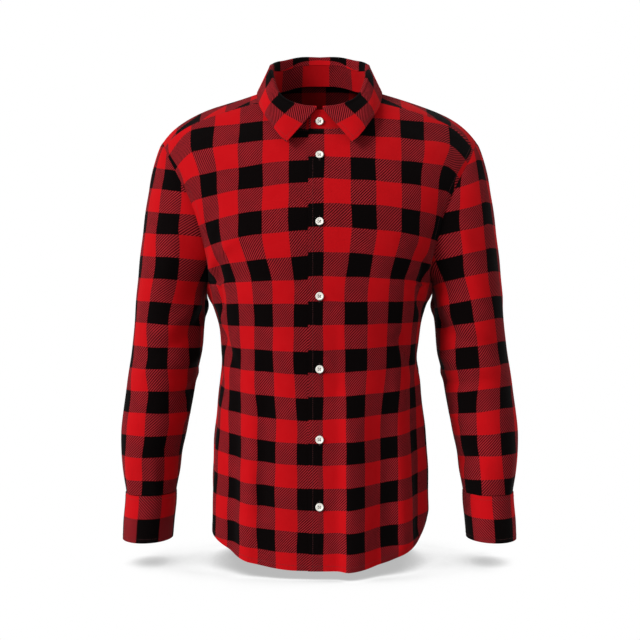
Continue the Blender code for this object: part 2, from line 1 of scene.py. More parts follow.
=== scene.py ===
"""Looks of the buffalo-check flannel shirt, filled out with no wearer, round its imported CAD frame.

Metres, +Z up, the front faces -Y and the wearer's left is +X, as in the frame. Every cloth piece is
an open sheet on the same body or sleeve surface as its solid, with finer folds, thickened inward.
"""

import math
from collections import namedtuple

import bmesh
import bpy
import numpy as np
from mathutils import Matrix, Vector


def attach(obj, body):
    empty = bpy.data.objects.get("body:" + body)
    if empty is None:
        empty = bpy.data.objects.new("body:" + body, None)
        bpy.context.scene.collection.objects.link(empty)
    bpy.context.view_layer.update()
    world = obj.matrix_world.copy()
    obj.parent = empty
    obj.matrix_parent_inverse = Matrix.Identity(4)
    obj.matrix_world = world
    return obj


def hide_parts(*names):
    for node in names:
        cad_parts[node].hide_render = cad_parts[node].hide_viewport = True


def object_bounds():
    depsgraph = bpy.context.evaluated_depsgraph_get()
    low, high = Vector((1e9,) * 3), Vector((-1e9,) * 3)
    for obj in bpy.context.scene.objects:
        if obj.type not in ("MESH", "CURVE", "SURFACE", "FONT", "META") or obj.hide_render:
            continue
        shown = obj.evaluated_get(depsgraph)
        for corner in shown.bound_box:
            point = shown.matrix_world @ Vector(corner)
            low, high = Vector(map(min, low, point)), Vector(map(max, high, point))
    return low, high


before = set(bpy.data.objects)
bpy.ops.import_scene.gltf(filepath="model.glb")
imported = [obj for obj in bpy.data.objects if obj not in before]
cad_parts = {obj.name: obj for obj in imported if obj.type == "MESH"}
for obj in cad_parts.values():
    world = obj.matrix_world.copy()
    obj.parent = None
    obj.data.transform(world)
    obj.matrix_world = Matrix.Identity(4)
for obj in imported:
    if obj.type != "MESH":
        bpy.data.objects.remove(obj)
CAD_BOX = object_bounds()

# ---- camera, in the picture's 640 pixel frame -----------------------------------------------
VIEW_DISTANCE = 1.45     # from the shirt's middle plane
VIEW_HEIGHT = -0.345
PICTURE = 640
FOCAL_PIXELS = 966.7
MIDDLE_PIXEL = 319.6     # column on which the shirt's centre line falls

# ---- cloth ----------------------------------------------------------------------------------
SIDES = {1: "left", -1: "right"}      # the wearer's
CLOTH = 0.0013           # wall of a single layer
BAND = 0.0021            # wall of stand, fall and cuffs
SEAM = 0.0004            # between two pieces at a seam
TUCK = 0.0016            # how far the sleeve's head runs under the armhole's edge
NECK_GAP = 0.0006        # fronts and yoke end this far outside the neckline
LEVEL_GAP = 0.0002       # and a panel this much of a level short of the yoke

UNDERARM_Z = -0.293
HEM_Z = {"front": -0.690, "back": -0.698}
HEM_RISE = 0.080         # how much higher the hem is at the side seams
HEM_CURVE = 2.6          # the power by which it rises to them
LAP = 0.0158             # each front edge runs this far past the centre line
LAP_STEP = 0.0019        # the under front lies this far behind the upper one
LAP_REACH, LAP_EASE = 0.046, 0.030    # out to this far round, easing out over the last of it

# Body below the underarm, row by row upward.
Low = namedtuple("Low", "z half front back square")
LOWER = (
    Low(-0.700, 0.1585, 0.1240, 0.1180, 2.30),
    Low(-0.640, 0.1600, 0.1265, 0.1195, 2.30),
    Low(-0.580, 0.1595, 0.1270, 0.1195, 2.30),
    Low(-0.525, 0.1570, 0.1260, 0.1175, 2.30),
    Low(-0.475, 0.1525, 0.1245, 0.1145, 2.30),
    Low(-0.430, 0.1485, 0.1240, 0.1120, 2.35),
    Low(-0.395, 0.1465, 0.1245, 0.1110, 2.40),
    Low(-0.360, 0.1490, 0.1255, 0.1120, 2.45),
    Low(-0.330, 0.1560, 0.1262, 0.1145, 2.50),
    Low(-0.310, 0.1612, 0.1265, 0.1165, 2.50),
    Low(-0.293, 0.1630, 0.1265, 0.1180, 2.50),
)

# Body above the underarm: each row runs from the centre line (height, depth there) out to the
# armhole edge. Reach is how far round the side the row gets, 1 being all the way.
High = namedtuple("High", "level z depth edge_x edge_y edge_z square reach")
UPPER = {
    "front": (
        High(1.00, -0.293, -0.1265, 0.1630, 0.0000, -0.293, 2.50, 1.000),
        High(1.09, -0.268, -0.1262, 0.1612, -0.0350, -0.281, 2.55, 0.985),
        High(1.20, -0.235, -0.1245, 0.1635, -0.0570, -0.257, 2.60, 0.960),
        High(1.32, -0.200, -0.1200, 0.1690, -0.0665, -0.227, 2.60, 0.935),
        High(1.44, -0.165, -0.1118, 0.1768, -0.0675, -0.197, 2.60, 0.915),
        High(1.56, -0.130, -0.1005, 0.1880, -0.0630, -0.169, 2.55, 0.900),
        High(1.67, -0.095, -0.0870, 0.2010, -0.0540, -0.144, 2.50, 0.890),
        High(1.76, -0.0705, -0.0745, 0.2125, -0.0430, -0.123, 2.45, 0.880),
        High(1.85, -0.046, -0.0580, 0.2230, -0.0300, -0.105, 2.40, 0.870),
        High(1.93, -0.010, -0.0340, 0.2310, -0.0140, -0.089, 2.40, 0.870),
        High(2.00, 0.0144, 0.0040, 0.2360, 0.0040, -0.078, 2.40, 0.870),
    ),
    "back": (
        High(1.00, -0.293, 0.1180, 0.1630, 0.0000, -0.293, 2.50, 1.000),
        High(1.09, -0.268, 0.1200, 0.1620, 0.0350, -0.283, 2.55, 0.985),
        High(1.20, -0.235, 0.1220, 0.1650, 0.0600, -0.259, 2.60, 0.960),
        High(1.32, -0.200, 0.1225, 0.1710, 0.0720, -0.227, 2.60, 0.935),
        High(1.44, -0.160, 0.1205, 0.1790, 0.0750, -0.192, 2.60, 0.915),
        High(1.56, -0.115, 0.1140, 0.1900, 0.0710, -0.160, 2.55, 0.900),
        High(1.67, -0.070, 0.1030, 0.2040, 0.0600, -0.132, 2.50, 0.890),
        High(1.76, -0.024, 0.0880, 0.2160, 0.0460, -0.113, 2.45, 0.880),
        High(1.85, 0.0222, 0.0665, 0.2265, 0.0310, -0.098, 2.40, 0.870),
        High(1.93, 0.0185, 0.0380, 0.2325, 0.0170, -0.086, 2.40, 0.870),
        High(2.00, 0.0144, 0.0040, 0.2360, 0.0040, -0.078, 2.40, 0.870),
    ),
}
# How a row drops from the centre to its edge: evenly but for a soft start, and the last of it
# close to the edge.
DROP_SOFT, EDGE_DROP, EDGE_POWER = 0.2, 0.30, 9
FRONT_SEAM = 1.93        # level of the yoke's seam on each front
BACK_SEAM = 1.65         # level of the yoke's seam on the back

# The neckline is an oval seen from above, squarer in front.
NECK_HALF, NECK_FRONT, NECK_BACK = 0.0740, 0.0750, 0.0660
NECK_SQUARE = 2.8

# Folds of the body, by face and side; side 1 is the wearer's left. Each is a ridge from one point
# to another on the panel, as (distance round from the centre, height), with its half width and how
# far it stands out; a trough is negative. Bow is how far the fold's middle lies off its straight
# line, and lean how much wider its outward flank is than its inward one.
Fold = namedtuple("Fold", "u0 z0 u1 z1 width height bow lean", defaults=(0.0,))
FOLDS = {
    ("front", 1): (
        Fold(0.038, -0.710, 0.034, -0.340, 0.019, 0.0115, 0.003, 0.55),
        Fold(0.083, -0.710, 0.074, -0.430, 0.013, -0.0026, 0.003),
        Fold(0.100, -0.640, 0.092, -0.350, 0.024, -0.0052, 0.004),
        Fold(0.042, -0.430, 0.040, -0.315, 0.021, -0.0056, 0.000),
        Fold(0.121, -0.660, 0.113, -0.370, 0.016, 0.0062, -0.003, 0.4),
        Fold(0.158, -0.640, 0.150, -0.450, 0.013, -0.0040, 0.000),
        Fold(0.192, -0.620, 0.186, -0.420, 0.014, 0.0040, 0.003),
        Fold(0.217, -0.306, 0.112, -0.218, 0.011, 0.0052, 0.007, 0.2),
        Fold(0.206, -0.268, 0.138, -0.196, 0.009, -0.0036, 0.005),
        Fold(0.166, -0.322, 0.158, -0.236, 0.008, -0.0048, 0.002),
        Fold(0.190, -0.332, 0.096, -0.276, 0.012, -0.0030, 0.004),
        Fold(0.120, -0.372, 0.160, -0.424, 0.009, -0.0058, 0.002),
        Fold(0.214, -0.392, 0.150, -0.446, 0.013, -0.0048, 0.003),
        Fold(0.150, -0.080, 0.092, -0.150, 0.016, -0.0018, 0.004),
    ),
    ("front", -1): (
        Fold(0.079, -0.610, 0.072, -0.365, 0.011, -0.0038, 0.003),
        Fold(0.104, -0.690, 0.096, -0.410, 0.017, 0.0056, -0.002, 0.2),
        Fold(0.132, -0.660, 0.121, -0.390, 0.012, -0.0046, 0.002),
        Fold(0.172, -0.660, 0.160, -0.455, 0.018, 0.0052, 0.004, -0.2),
        Fold(0.205, -0.610, 0.196, -0.450, 0.012, -0.0035, 0.000),
        Fold(0.217, -0.310, 0.104, -0.226, 0.012, 0.0054, 0.008, 0.2),
        Fold(0.204, -0.262, 0.146, -0.186, 0.009, -0.0034, 0.004),
        Fold(0.160, -0.330, 0.150, -0.222, 0.008, -0.0052, 0.002),
        Fold(0.196, -0.345, 0.108, -0.292, 0.012, -0.0030, 0.004),
        Fold(0.168, -0.368, 0.124, -0.428, 0.010, -0.0058, 0.003),
        Fold(0.214, -0.400, 0.152, -0.462, 0.012, -0.0042, 0.002),
        Fold(0.158, -0.090, 0.088, -0.165, 0.016, -0.0020, 0.004),
    ),
    ("back", 1): (
        Fold(0.048, -0.710, 0.040, -0.330, 0.020, 0.0078, 0.006, 0.3),
        Fold(0.094, -0.700, 0.082, -0.440, 0.014, -0.0048, 0.000),
        Fold(0.143, -0.700, 0.124, -0.390, 0.019, 0.0064, -0.004, -0.3),
        Fold(0.196, -0.640, 0.180, -0.430, 0.013, -0.0042, 0.003),
        Fold(0.215, -0.378, 0.104, -0.440, 0.011, -0.0062, 0.005),
        Fold(0.214, -0.412, 0.130, -0.474, 0.012, 0.0042, 0.004),
        Fold(0.206, -0.300, 0.102, -0.205, 0.013, 0.0058, 0.009, 0.2),
        Fold(0.198, -0.262, 0.128, -0.160, 0.010, -0.0042, 0.006),
        Fold(0.020, -0.300, 0.062, -0.130, 0.020, -0.0030, 0.006),
    ),
    ("back", -1): (
        Fold(0.012, -0.700, 0.022, -0.410, 0.015, -0.0050, 0.004),
        Fold(0.072, -0.710, 0.056, -0.350, 0.021, 0.0084, -0.006, 0.3),
        Fold(0.125, -0.690, 0.117, -0.480, 0.013, -0.0044, 0.002),
        Fold(0.164, -0.700, 0.146, -0.370, 0.019, 0.0060, 0.004, -0.2),
        Fold(0.216, -0.392, 0.088, -0.430, 0.012, -0.0062, -0.006),
        Fold(0.212, -0.350, 0.124, -0.398, 0.010, 0.0040, 0.003),
        Fold(0.206, -0.306, 0.088, -0.224, 0.014, 0.0060, 0.010, 0.2),
        Fold(0.196, -0.250, 0.122, -0.142, 0.010, -0.0040, 0.005),
    ),
}
FOLD_FADES, FADE_POWER = 1.15, 0.8     # how a fold dies out toward its second end

# The sleeve below the cap and the cuff, row by row upward.
Arm = namedtuple("Arm", "z inner outer mid_y front back")
SLEEVE = (
    Arm(-0.598, 0.2130, 0.2860, -0.014, 0.0470, 0.0460),
    Arm(-0.570, 0.2085, 0.2910, -0.011, 0.0520, 0.0510),
    Arm(-0.540, 0.2050, 0.2950, -0.008, 0.0555, 0.0545),
    Arm(-0.510, 0.1990, 0.2950, -0.005, 0.0570, 0.0565),
    Arm(-0.480, 0.1930, 0.2925, -0.002, 0.0590, 0.0580),
    Arm(-0.450, 0.1880, 0.2880, 0.000, 0.0610, 0.0600),
    Arm(-0.420, 0.1830, 0.2850, 0.002, 0.0635, 0.0630),
    Arm(-0.390, 0.1765, 0.2805, 0.003, 0.0660, 0.0660),
    Arm(-0.345, 0.1730, 0.2765, 0.003, 0.0700, 0.0700),
)
CUFF = (
    Arm(-0.665, 0.2170, 0.2900, -0.020, 0.0470, 0.0460),
    Arm(-0.640, 0.2150, 0.2895, -0.018, 0.0475, 0.0465),
    Arm(-0.612, 0.2125, 0.2875, -0.015, 0.0480, 0.0470),
    Arm(-0.598, 0.2125, 0.2870, -0.014, 0.0480, 0.0470),
)
ARM_END, ARM_TOP = SLEEVE[0].z, SLEEVE[-1].z
FRONT_MIDDLE = 0.25      # the arm's front middle, as a share of the way round it
SLEEVE_CALM = 0.03       # share of the way round, beside the seam, over which creases die out
HEAD_SINKS = 0.0005      # how far the head's first rows lie in under the armhole's edge
SINK_ROWS, CALM_ROWS = 2.5, 5         # rows over which it comes out, and creases come in
ROUND_BLEND = (-0.02, 0.10)           # heights over ARM_TOP between which a point's way round the
                                      # sleeve goes over to its direction from the arm's middle
TILT_REACH = (-0.04, 0.06)            # distances from the stripe between which its check tilts
SLEEVE_CHECK = (0.067, 0.0642)        # width and height of one repeat on the sleeve
CUFF_END, CUFF_TOP = CUFF[0].z, CUFF[-1].z
CUFF_RADIUS = 0.042      # the mean one
CUFF_LAP = 0.022         # the cuff's upper end covers this much of its lower end
CUFF_TUCK = (1.6, 0.8)   # laps before the opening at which the lower end starts in, and is in
CUFF_OPENING = 232.0     # where the lap is, degrees round from the inner seam by way of the front
PLACKET_LONG = 0.115
PLACKET_HALF = 0.038     # half its width, as a share of the way round the sleeve
PLACKET_ROUND = 0.31     # the sleeve's way round there

# How the sleeve leaves the armhole and turns down, round it from the underarm by way of the front:
# direction and length at the armhole, and length of the run-in to the sleeve's first row.
Cap = namedtuple("Cap", "turn reach out_x out_y out_z run_in")
CAP = (
    Cap(0, 0.014, 0.90, 0.00, -0.42, 0.020),
    Cap(45, 0.019, 0.82, -0.40, -0.42, 0.034),
    Cap(90, 0.030, 0.86, -0.36, -0.36, 0.060),
    Cap(135, 0.036, 0.82, -0.24, -0.52, 0.095),
    Cap(180, 0.036, 0.64, 0.00, -0.77, 0.100),
    Cap(225, 0.036, 0.82, 0.24, -0.52, 0.095),
    Cap(270, 0.030, 0.86, 0.32, -0.38, 0.060),
    Cap(315, 0.019, 0.82, 0.36, -0.44, 0.034),
    Cap(360, 0.014, 0.90, 0.00, -0.42, 0.020),
)

STAND_HEIGHT, STAND_FRONT = 0.0300, 0.0262      # behind, and in front
STAND_LEAN = 0.0030      # the stand's top is this much nearer the neck's middle
STAND_GROWS = (50, 110)  # turns between which it grows to its height behind
STAND_LAP = 0.0155
UNDER_END, UNDER_EASE = 24, 10        # turn out to which the under end lies further in, and over
                                      # how much of it that eases out
STAND_FOOT = 0.0018      # how far the stand runs down inside the neckline

# The fall, round from the centre front to the centre back on one side: how high the roll stands
# over the stand, and where its free edge lies.
Fall = namedtuple("Fall", "turn roll edge_x edge_y edge_z swell")
FALL = (
    Fall(1.2, 0.0010, 0.0462, -0.1000, -0.0955, 0.000),
    Fall(24, 0.0040, 0.0580, -0.0925, -0.0830, 0.002),
    Fall(46, 0.0050, 0.0730, -0.0760, -0.0610, 0.003),
    Fall(70, 0.0040, 0.0862, -0.0480, -0.0365, 0.001),
    Fall(96, 0.0064, 0.0935, -0.0040, -0.0042, 0.000),
    Fall(120, 0.0120, 0.0850, 0.0390, 0.0047, 0.003),
    Fall(146, 0.0114, 0.0535, 0.0725, 0.0112, 0.005),
    Fall(180, 0.0098, 0.0000, 0.0820, 0.0075, 0.005),
)

ROLL_RADIUS = 0.0036
FALL_ROOT = -0.0019      # the fall rises this far behind the stand's outer face

# The fall's check lies true to the cloth in front, where it is cut slightly off the grain, and a
# little drawn together at the back; the cloth between takes up the difference to its free edge.
LEAF, LEAF_SLANT = 0.070, 0.16
NAPE, NAPE_STRETCH = 0.055, 1.2

BUTTON_RADIUS, BUTTON_THICK = 0.0056, 0.0028
BUTTON_Z = (-0.1135, -0.2100, -0.3125, -0.4125, -0.5090, -0.6010)
STAND_BUTTON_UP = 0.0090               # height of the stand's button over the neck seam
CUFF_BUTTON_Z = -0.633
BUTTON_CLEAR, CUFF_BUTTON_CLEAR = 0.0004, 0.0006      # between a button and the cloth
BUTTON_HOLE = 0.00085    # radius of each of a button's four thread holes
HOLE_OUT = 0.0017        # from a button's middle to each hole's
THREAD_LIES = 0.74       # height of a button's thread, as a share of its thickness

# The slow waves in which the cloth's threads and surface wander: radians a metre along the cloth
# and up it, and where each wave starts.
Wave = namedtuple("Wave", "along up start")
WAVES = (Wave(61, 23, 0.7), Wave(-29, 37, 2.1), Wave(41, 97, 4.0))
BODY_SWAY, SLEEVE_SWAY = 0.0011, 0.0008     # how far they move the surface in and out
FRONT_SHIFT, SLEEVE_SHIFT = (0.0013, 0.0009), (0.0015, 0.0010)     # and the check, round and up

# Stitches and the sewn holes. The second line is how far in from an edge stitches lie: close to
# it, on cuffs and collar, over a seam, at the hem and along the front edges.
STITCH_PITCH, STITCH_LONG, THREAD = 0.0029, 0.0021, 0.00020
CLOSE, ON_BAND, OVER_SEAM, AT_HEM, AT_FRONT = 0.002, 0.0055, 0.0075, 0.007, 0.0065
SEAM_GAP = 0.03          # a line of stitches stops where its points are further apart
LOOK_ON = 0.001          # a stitch points to the place this much further on
BAR_SIDES = 5            # each stitch is a bar of rings: along it, radius, height over the cloth
BAR_RINGS = ((-1, 0.5, -0.7), (-0.6, 1, 0.25), (0.6, 1, 0.25), (1, 0.5, -0.7))
HOLE_LONG, HOLE_WIDE, HOLE_PITCH = 0.0136, 0.0020, 0.00055
HOLE_SUNK = 0.0002       # how far a buttonhole's stitches lie behind the button's underside

# ---- the check ------------------------------------------------------------------------------
CHECK_U, CHECK_V = 0.0734, 0.0670     # width and height of one repeat
BLACK_U, BLACK_V = 0.0360, 0.0328     # width of its black stripes
CLOTH_BASE_Z = -0.330                 # height at which the panels' own height is 0
EASE = 0.34                           # how much the cloth is eased in toward the hem
BODY_WEFT = -0.0061                   # height of a black stripe's middle on fronts and back
RIGHT_DROP = 0.0042                   # how much lower it lies on the right front's upper part,
RIGHT_DROPS = (-0.69, -0.25)          # which comes in between these heights

# Below the chest the body is slimmer than the cut. How much cloth is taken up in folds between the
# centre and a distance round, on the wearer's right and left front, at the waist and at the hips.
TakeUp = namedtuple("TakeUp", "at right_waist right_hip left_waist left_hip")
TAKE_UP = (
    TakeUp(0.000, 0.0040, 0.0090, 0.0000, 0.0000),
    TakeUp(0.033, 0.0070, 0.0120, 0.0085, 0.0070),
    TakeUp(0.063, 0.0155, 0.0195, 0.0120, 0.0185),
    TakeUp(0.093, 0.0225, 0.0300, 0.0180, 0.0315),
    TakeUp(0.120, 0.0350, 0.0400, 0.0290, 0.0410),
    TakeUp(0.145, 0.0460, 0.0490, 0.0420, 0.0500),
    TakeUp(0.165, 0.0640, 0.0640, 0.0600, 0.0660),
    TakeUp(0.210, 0.0800, 0.0800, 0.0800, 0.0850),
    TakeUp(0.250, 0.0900, 0.0900, 0.0900, 0.0950),
)

# The same in the drag folds that run from the armhole.
Drag = namedtuple("Drag", "at takes")
DRAG = (Drag(0.09, 0.0), Drag(0.13, 0.004), Drag(0.15, 0.010), Drag(0.17, 0.017),
        Drag(0.21, 0.030), Drag(0.26, 0.040))

# Heights between which the hips' take-up gives way to the waist's, the waist's to the drag folds',
# and theirs to none.
HIPS, CHEST, DRAG_ENDS = (-0.50, -0.40), (-0.315, -0.215), (-0.15, -0.09)

# How far the check's rows run down at DRIFT_AT from the centre line, by height, and the power by
# which they run down toward there.
DRIFT_AT, DRIFT_POWER = 0.13, 1.3
Drift = namedtuple("Drift", "z right left")
DRIFT = (
    Drift(-0.700, -0.008, -0.008),
    Drift(-0.450, -0.008, -0.008),
    Drift(-0.370, -0.004, -0.004),
    Drift(-0.310, 0.000, 0.000),
    Drift(-0.270, 0.008, 0.006),
    Drift(-0.200, 0.012, 0.007),
    Drift(-0.120, 0.012, 0.005),
    Drift(-0.060, 0.006, 0.003),
)


# ---- reading the tables ---------------------------------------------------------------------

def smooth(knots, values, at):
    """The values between a table's rows, on a smooth curve through them."""
    knots, values, at = (np.asarray(v, float) for v in (knots, values, at))
    slopes = np.gradient(values, knots)
    i = np.clip(np.searchsorted(knots, at) - 1, 0, len(knots) - 2)
    step = knots[i + 1] - knots[i]
    t = np.clip((at - knots[i]) / step, 0, 1)
    return (
        values[i] * (1 + 2 * t) * (1 - t) ** 2
        + slopes[i] * step * t * (1 - t) ** 2
        + values[i + 1] * t * t * (3 - 2 * t)
        - slopes[i + 1] * step * t * t * (1 - t)
    )


def read(table, name, at):
    """One of a table's columns at places along its first one."""
    return smooth([row[0] for row in table], [getattr(row, name) for row in table], at)


def step_up(low, high, at):
    """0 below low and 1 above high, with a soft start and end."""
    t = np.clip((at - low) / (high - low), 0, 1)
    return t * t * (3 - 2 * t)


def sway(a, b):
    """Slow, uneven wandering of the cloth's threads, -1 to 1, at a place on it."""
    return sum(np.sin(w.along * a + w.up * b + w.start) for w in WAVES) / len(WAVES)


def halve(low, high, is_low, times):
    """The place between low and high up to which is_low is true."""
    for _ in range(times):
        middle = (low + high) / 2
        if is_low(middle):
            low = middle
        else:
            high = middle
    return middle


def on_grid(values, i, j):
    """The values between the entries of a two-way table, at row i and column j, both with parts."""
    i = np.clip(i, 0, values.shape[0] - 1.001)
    j = np.clip(j, 0, values.shape[1] - 1.001)
    a, b = i.astype(int), j.astype(int)
    f, g = i - a, j - b
    return (values[a, b] * (1 - f) * (1 - g) + values[a + 1, b] * f * (1 - g)
            + values[a, b + 1] * (1 - f) * g + values[a + 1, b + 1] * f * g)


def unit(vectors):
    """The vectors, made 1 long; one of no length stays so."""
    return vectors / np.maximum(np.linalg.norm(vectors, axis=-1, keepdims=True), 1e-12)


def run_length(points):
    """How far along a line of points each one lies, or down its column in a grid of them."""
    steps = np.linalg.norm(np.diff(points, axis=0), axis=-1)
    return np.concatenate([0 * steps[:1], steps.cumsum(0)])


def points_at(way, ways, points):
    """Where a line of points has got to at a distance along it; ways are its points' own."""
    return np.stack([np.interp(way, ways, points[:, k]) for k in range(3)], -1)


# ---- the body surface -----------------------------------------------------------------------

def sign_of(face):
    return -1.0 if face == "front" else 1.0


def numbers(face, across, level):
    """Centre height and depth, edge point, squareness and reach of the row at each place."""
    hem = HEM_Z[face] + HEM_RISE * np.abs(across) ** HEM_CURVE
    z = UNDERARM_Z + (hem - UNDERARM_Z) * (1 - np.minimum(level, 1))
    depth = sign_of(face) * read(LOWER, face, z)
    half = read(LOWER, "half", z)
    low = (z, depth, half, 0 * z, z, read(LOWER, "square", z), 1 + 0 * z)
    high = [read(UPPER[face], name, np.maximum(level, 1)) for name in High._fields[1:]]
    return [np.where(level < 1, a, b) for a, b in zip(low, high)]


def on_row(row, part):
    """The point at a part (0 to 1, by angle) of a row, from the centre to its edge."""
    z, depth, edge_x, edge_y, edge_z, square, reach = row
    last = np.arcsin(np.minimum(reach ** (square / 2), 1))
    angle = np.clip(part, 0, 1) * last
    out = np.sin(angle) ** (2 / square) / reach
    back = (1 - np.cos(angle) ** (2 / square)) / (1 - np.cos(last) ** (2 / square))
    soft = (np.hypot(out, DROP_SOFT) - DROP_SOFT) / (np.hypot(1, DROP_SOFT) - DROP_SOFT)
    drop = (1 - EDGE_DROP) * soft + EDGE_DROP * out**EDGE_POWER
    return edge_x * out, depth + (edge_y - depth) * back, z + (edge_z - z) * drop


class Face:
    """One face of the body, front or back: places on it by share of the way round from the centre
    to the side or armhole (negative on the wearer's right) and by level, hem 0, underarm 1 and
    shoulder 2."""

    STEPS, LEVELS, SHARES = 120, 121, 61
    SEAM_CALM = 0.10     # share of the way round, beside a side seam, over which folds die out
    NORMALS_END = 0.985  # beyond this share of the way round, the normal is the one here
    WIDEST = 0.26        # no row is further round than this

    def __init__(self, face):
        self.face = face
        self.levels = np.linspace(0, 2, self.LEVELS)
        self.shares = np.linspace(0, 1, self.SHARES)
        part = np.linspace(0, 1, self.STEPS + 1) ** 1.3       # evens out the steps by the centre
        level = self.levels[:, None] + 0 * part
        guess = part + 0 * level
        x, y, _ = on_row(numbers(face, guess, level), guess)
        length = np.hypot(np.diff(x), np.diff(y)).cumsum(1)
        length = np.concatenate([0 * length[:, :1], length], 1)
        self.width = length[:, -1]
        self.parts = np.array([np.interp(self.shares, s / s[-1], part) for s in length])
        self.map_cloth()

    def place(self, across, level):
        """Points on the smooth surface."""
        across, level = np.broadcast_arrays(np.asarray(across, float), np.asarray(level, float))
        share = np.abs(across)
        part = on_grid(self.parts, level / 2 * (self.LEVELS - 1), share * (self.SHARES - 1))
        x, y, z = on_row(numbers(self.face, share, level), part)
        return np.stack([x * np.where(across < 0, -1, 1), y, z], -1)

    def round_at(self, level):
        """Distance round from the centre line to the edge."""
        return np.interp(level, self.levels, self.width)

    def normal(self, across, level):
        """Outward unit normals."""
        step = 2e-3
        u = self.place(across + step, level) - self.place(across - step, level)
        low, high = np.clip(level - step, 0, 2), np.clip(level + step, 0, 2)
        v = self.place(across, high) - self.place(across, low)
        return unit(np.cross(u, v) * -sign_of(self.face))

    def cloth(self, across, level, lift=0.0):
        """Points on the cloth, with its folds, moved out by lift."""
        base = self.place(across, level)
        u = across * self.round_at(level)
        height = np.asarray(lift, float) + BODY_SWAY * sway(u, base[..., 2])
        seam_fade = np.clip((1 - np.abs(across)) / self.SEAM_CALM, 0, 1)
        for side in (1, -1):
            for fold in FOLDS[self.face, side]:
                height = height + ridge(fold, u * side, base[..., 2]) * seam_fade
        inside = np.clip(np.abs(across), 0, self.NORMALS_END) * np.sign(across)
        return base + self.normal(inside, level) * height[..., None]

    def map_cloth(self):
        """Height on the cloth at each level (row) and distance round (column), measured up along
        the cloth from CLOTH_BASE_Z."""
        self.round = np.linspace(0, self.WIDEST, 53)
        share = np.minimum(self.round / self.width[:, None], 1)
        p = self.place(share, self.levels[:, None])
        rise = run_length(p[..., 1:])
        half = self.LEVELS // 2
        for k in range(len(self.round)):
            rise[:, k] -= np.interp(CLOTH_BASE_Z, p[:half, k, 2], rise[:half, k])
        self.rise = rise

    def flat(self, across, level):
        """(distance round, height) on the cloth before any easing."""
        d = np.abs(across) * self.round_at(level)
        height = on_grid(self.rise, level / 2 * (self.LEVELS - 1), d / self.round[1])
        return d * np.where(across < 0, -1, 1), height


def ridge(fold, u, z):
    """How far one fold moves the cloth out at each place."""
    u0, z0, u1, z1, width, height, bow, lean = fold
    du, dz = u1 - u0, z1 - z0
    long = math.hypot(du, dz)
    along = ((u - u0) * du + (z - z0) * dz) / long**2
    off_line = ((u - u0) * dz - (z - z0) * du) / long
    off_line = off_line - bow * np.sin(np.pi * np.clip(along, 0, 1))
    past = (along - np.clip(along, 0, 1)) * long
    flank = width * np.where(off_line > 0, 1 + lean, 1 - lean)
    fade = np.clip(FOLD_FADES - along, 0, 1) ** FADE_POWER
    return height * np.exp(-((off_line / flank) ** 2) - (past / width) ** 2) * fade


def neck_at(turn, grow=0.0):
    """Plan position on the neckline, degrees round from the centre front to the centre back,
    negative on the wearer's right."""
    a = np.radians(turn)
    ahead = np.cos(a) > 0
    power = np.where(ahead, 2 / NECK_SQUARE, 1.0)
    reach_y = np.where(ahead, NECK_FRONT, NECK_BACK) + grow
    x = (NECK_HALF + grow) * np.abs(np.sin(a)) ** power * np.sign(a)
    return x, -reach_y * np.abs(np.cos(a)) ** power * np.sign(np.cos(a))


def turn_at(x):
    """How far round the neck from the centre front a distance x from the centre line is."""
    return math.degrees(math.asin((x / NECK_HALF) ** (NECK_SQUARE / 2)))


def meet(face, x, y):
    """Where the face's surface passes over a plan position near the neck: (share, level)."""
    def reached(level):
        """The row at a level, and the part of it at which it gets out to x."""
        row = [float(v) for v in numbers(face.face, 0.0, np.float64(level))]
        return row, halve(0.0, 1.0, lambda part: on_row(row, part)[0] < x, 30)

    level = halve(1.5, 2.0,
                  lambda at: (on_row(*reached(at))[1] - y) * sign_of(face.face) > 0, 40)
    nearest = int(np.abs(face.levels - level).argmin())
    return float(np.interp(reached(level)[1], face.parts[nearest], face.shares)), level


FRONT, BACK = Face("front"), Face("back")


def neckline(turn, grow=0.0):
    """(face, share, level) of the neckline at a turn round the neck."""
    x, y = neck_at(turn, grow)
    face = FRONT if y < UPPER["front"][-1].depth else BACK
    share, level = meet(face, x, y)
    return face, share, level


def seam_turn():
    """How far round the neck the yoke's front seam meets the neckline."""
    def is_ahead(turn):
        face, _, level = neckline(turn)
        return face is FRONT and level < FRONT_SEAM

    return halve(20.0, 92.0, is_ahead, 20)


NECK_TURNS = np.linspace(0, 180, 37)
NECK_PLACES = [neckline(t) for t in NECK_TURNS]
NECK_HEIGHTS = np.array([float(f.place(s, v)[2]) for f, s, v in NECK_PLACES])
SEAM_TURN = seam_turn()


# ---- making pieces --------------------------------------------------------------------------

STITCHES = {}            # by piece


def add(name, data):
    """A new object in the scene."""
    item = bpy.data.objects.new(name, data)
    bpy.context.scene.collection.objects.link(item)
    return item


def new_mesh(name, points, faces, edges=()):
    mesh = bpy.data.meshes.new(name)
    mesh.from_pydata(points, edges, faces)
    return mesh


def rounded(mesh):
    """The mesh, shaded smooth."""
    mesh.polygons.foreach_set("use_smooth", np.ones(len(mesh.polygons), bool))
    return mesh


def applied(draft, sharp):
    """An object's mesh with its modifiers in it, smooth but for edges over an angle in degrees."""
    depsgraph = bpy.context.evaluated_depsgraph_get()
    mesh = rounded(bpy.data.meshes.new_from_object(draft.evaluated_get(depsgraph)))
    mesh.set_sharp_from_angle(angle=math.radians(sharp))
    return mesh


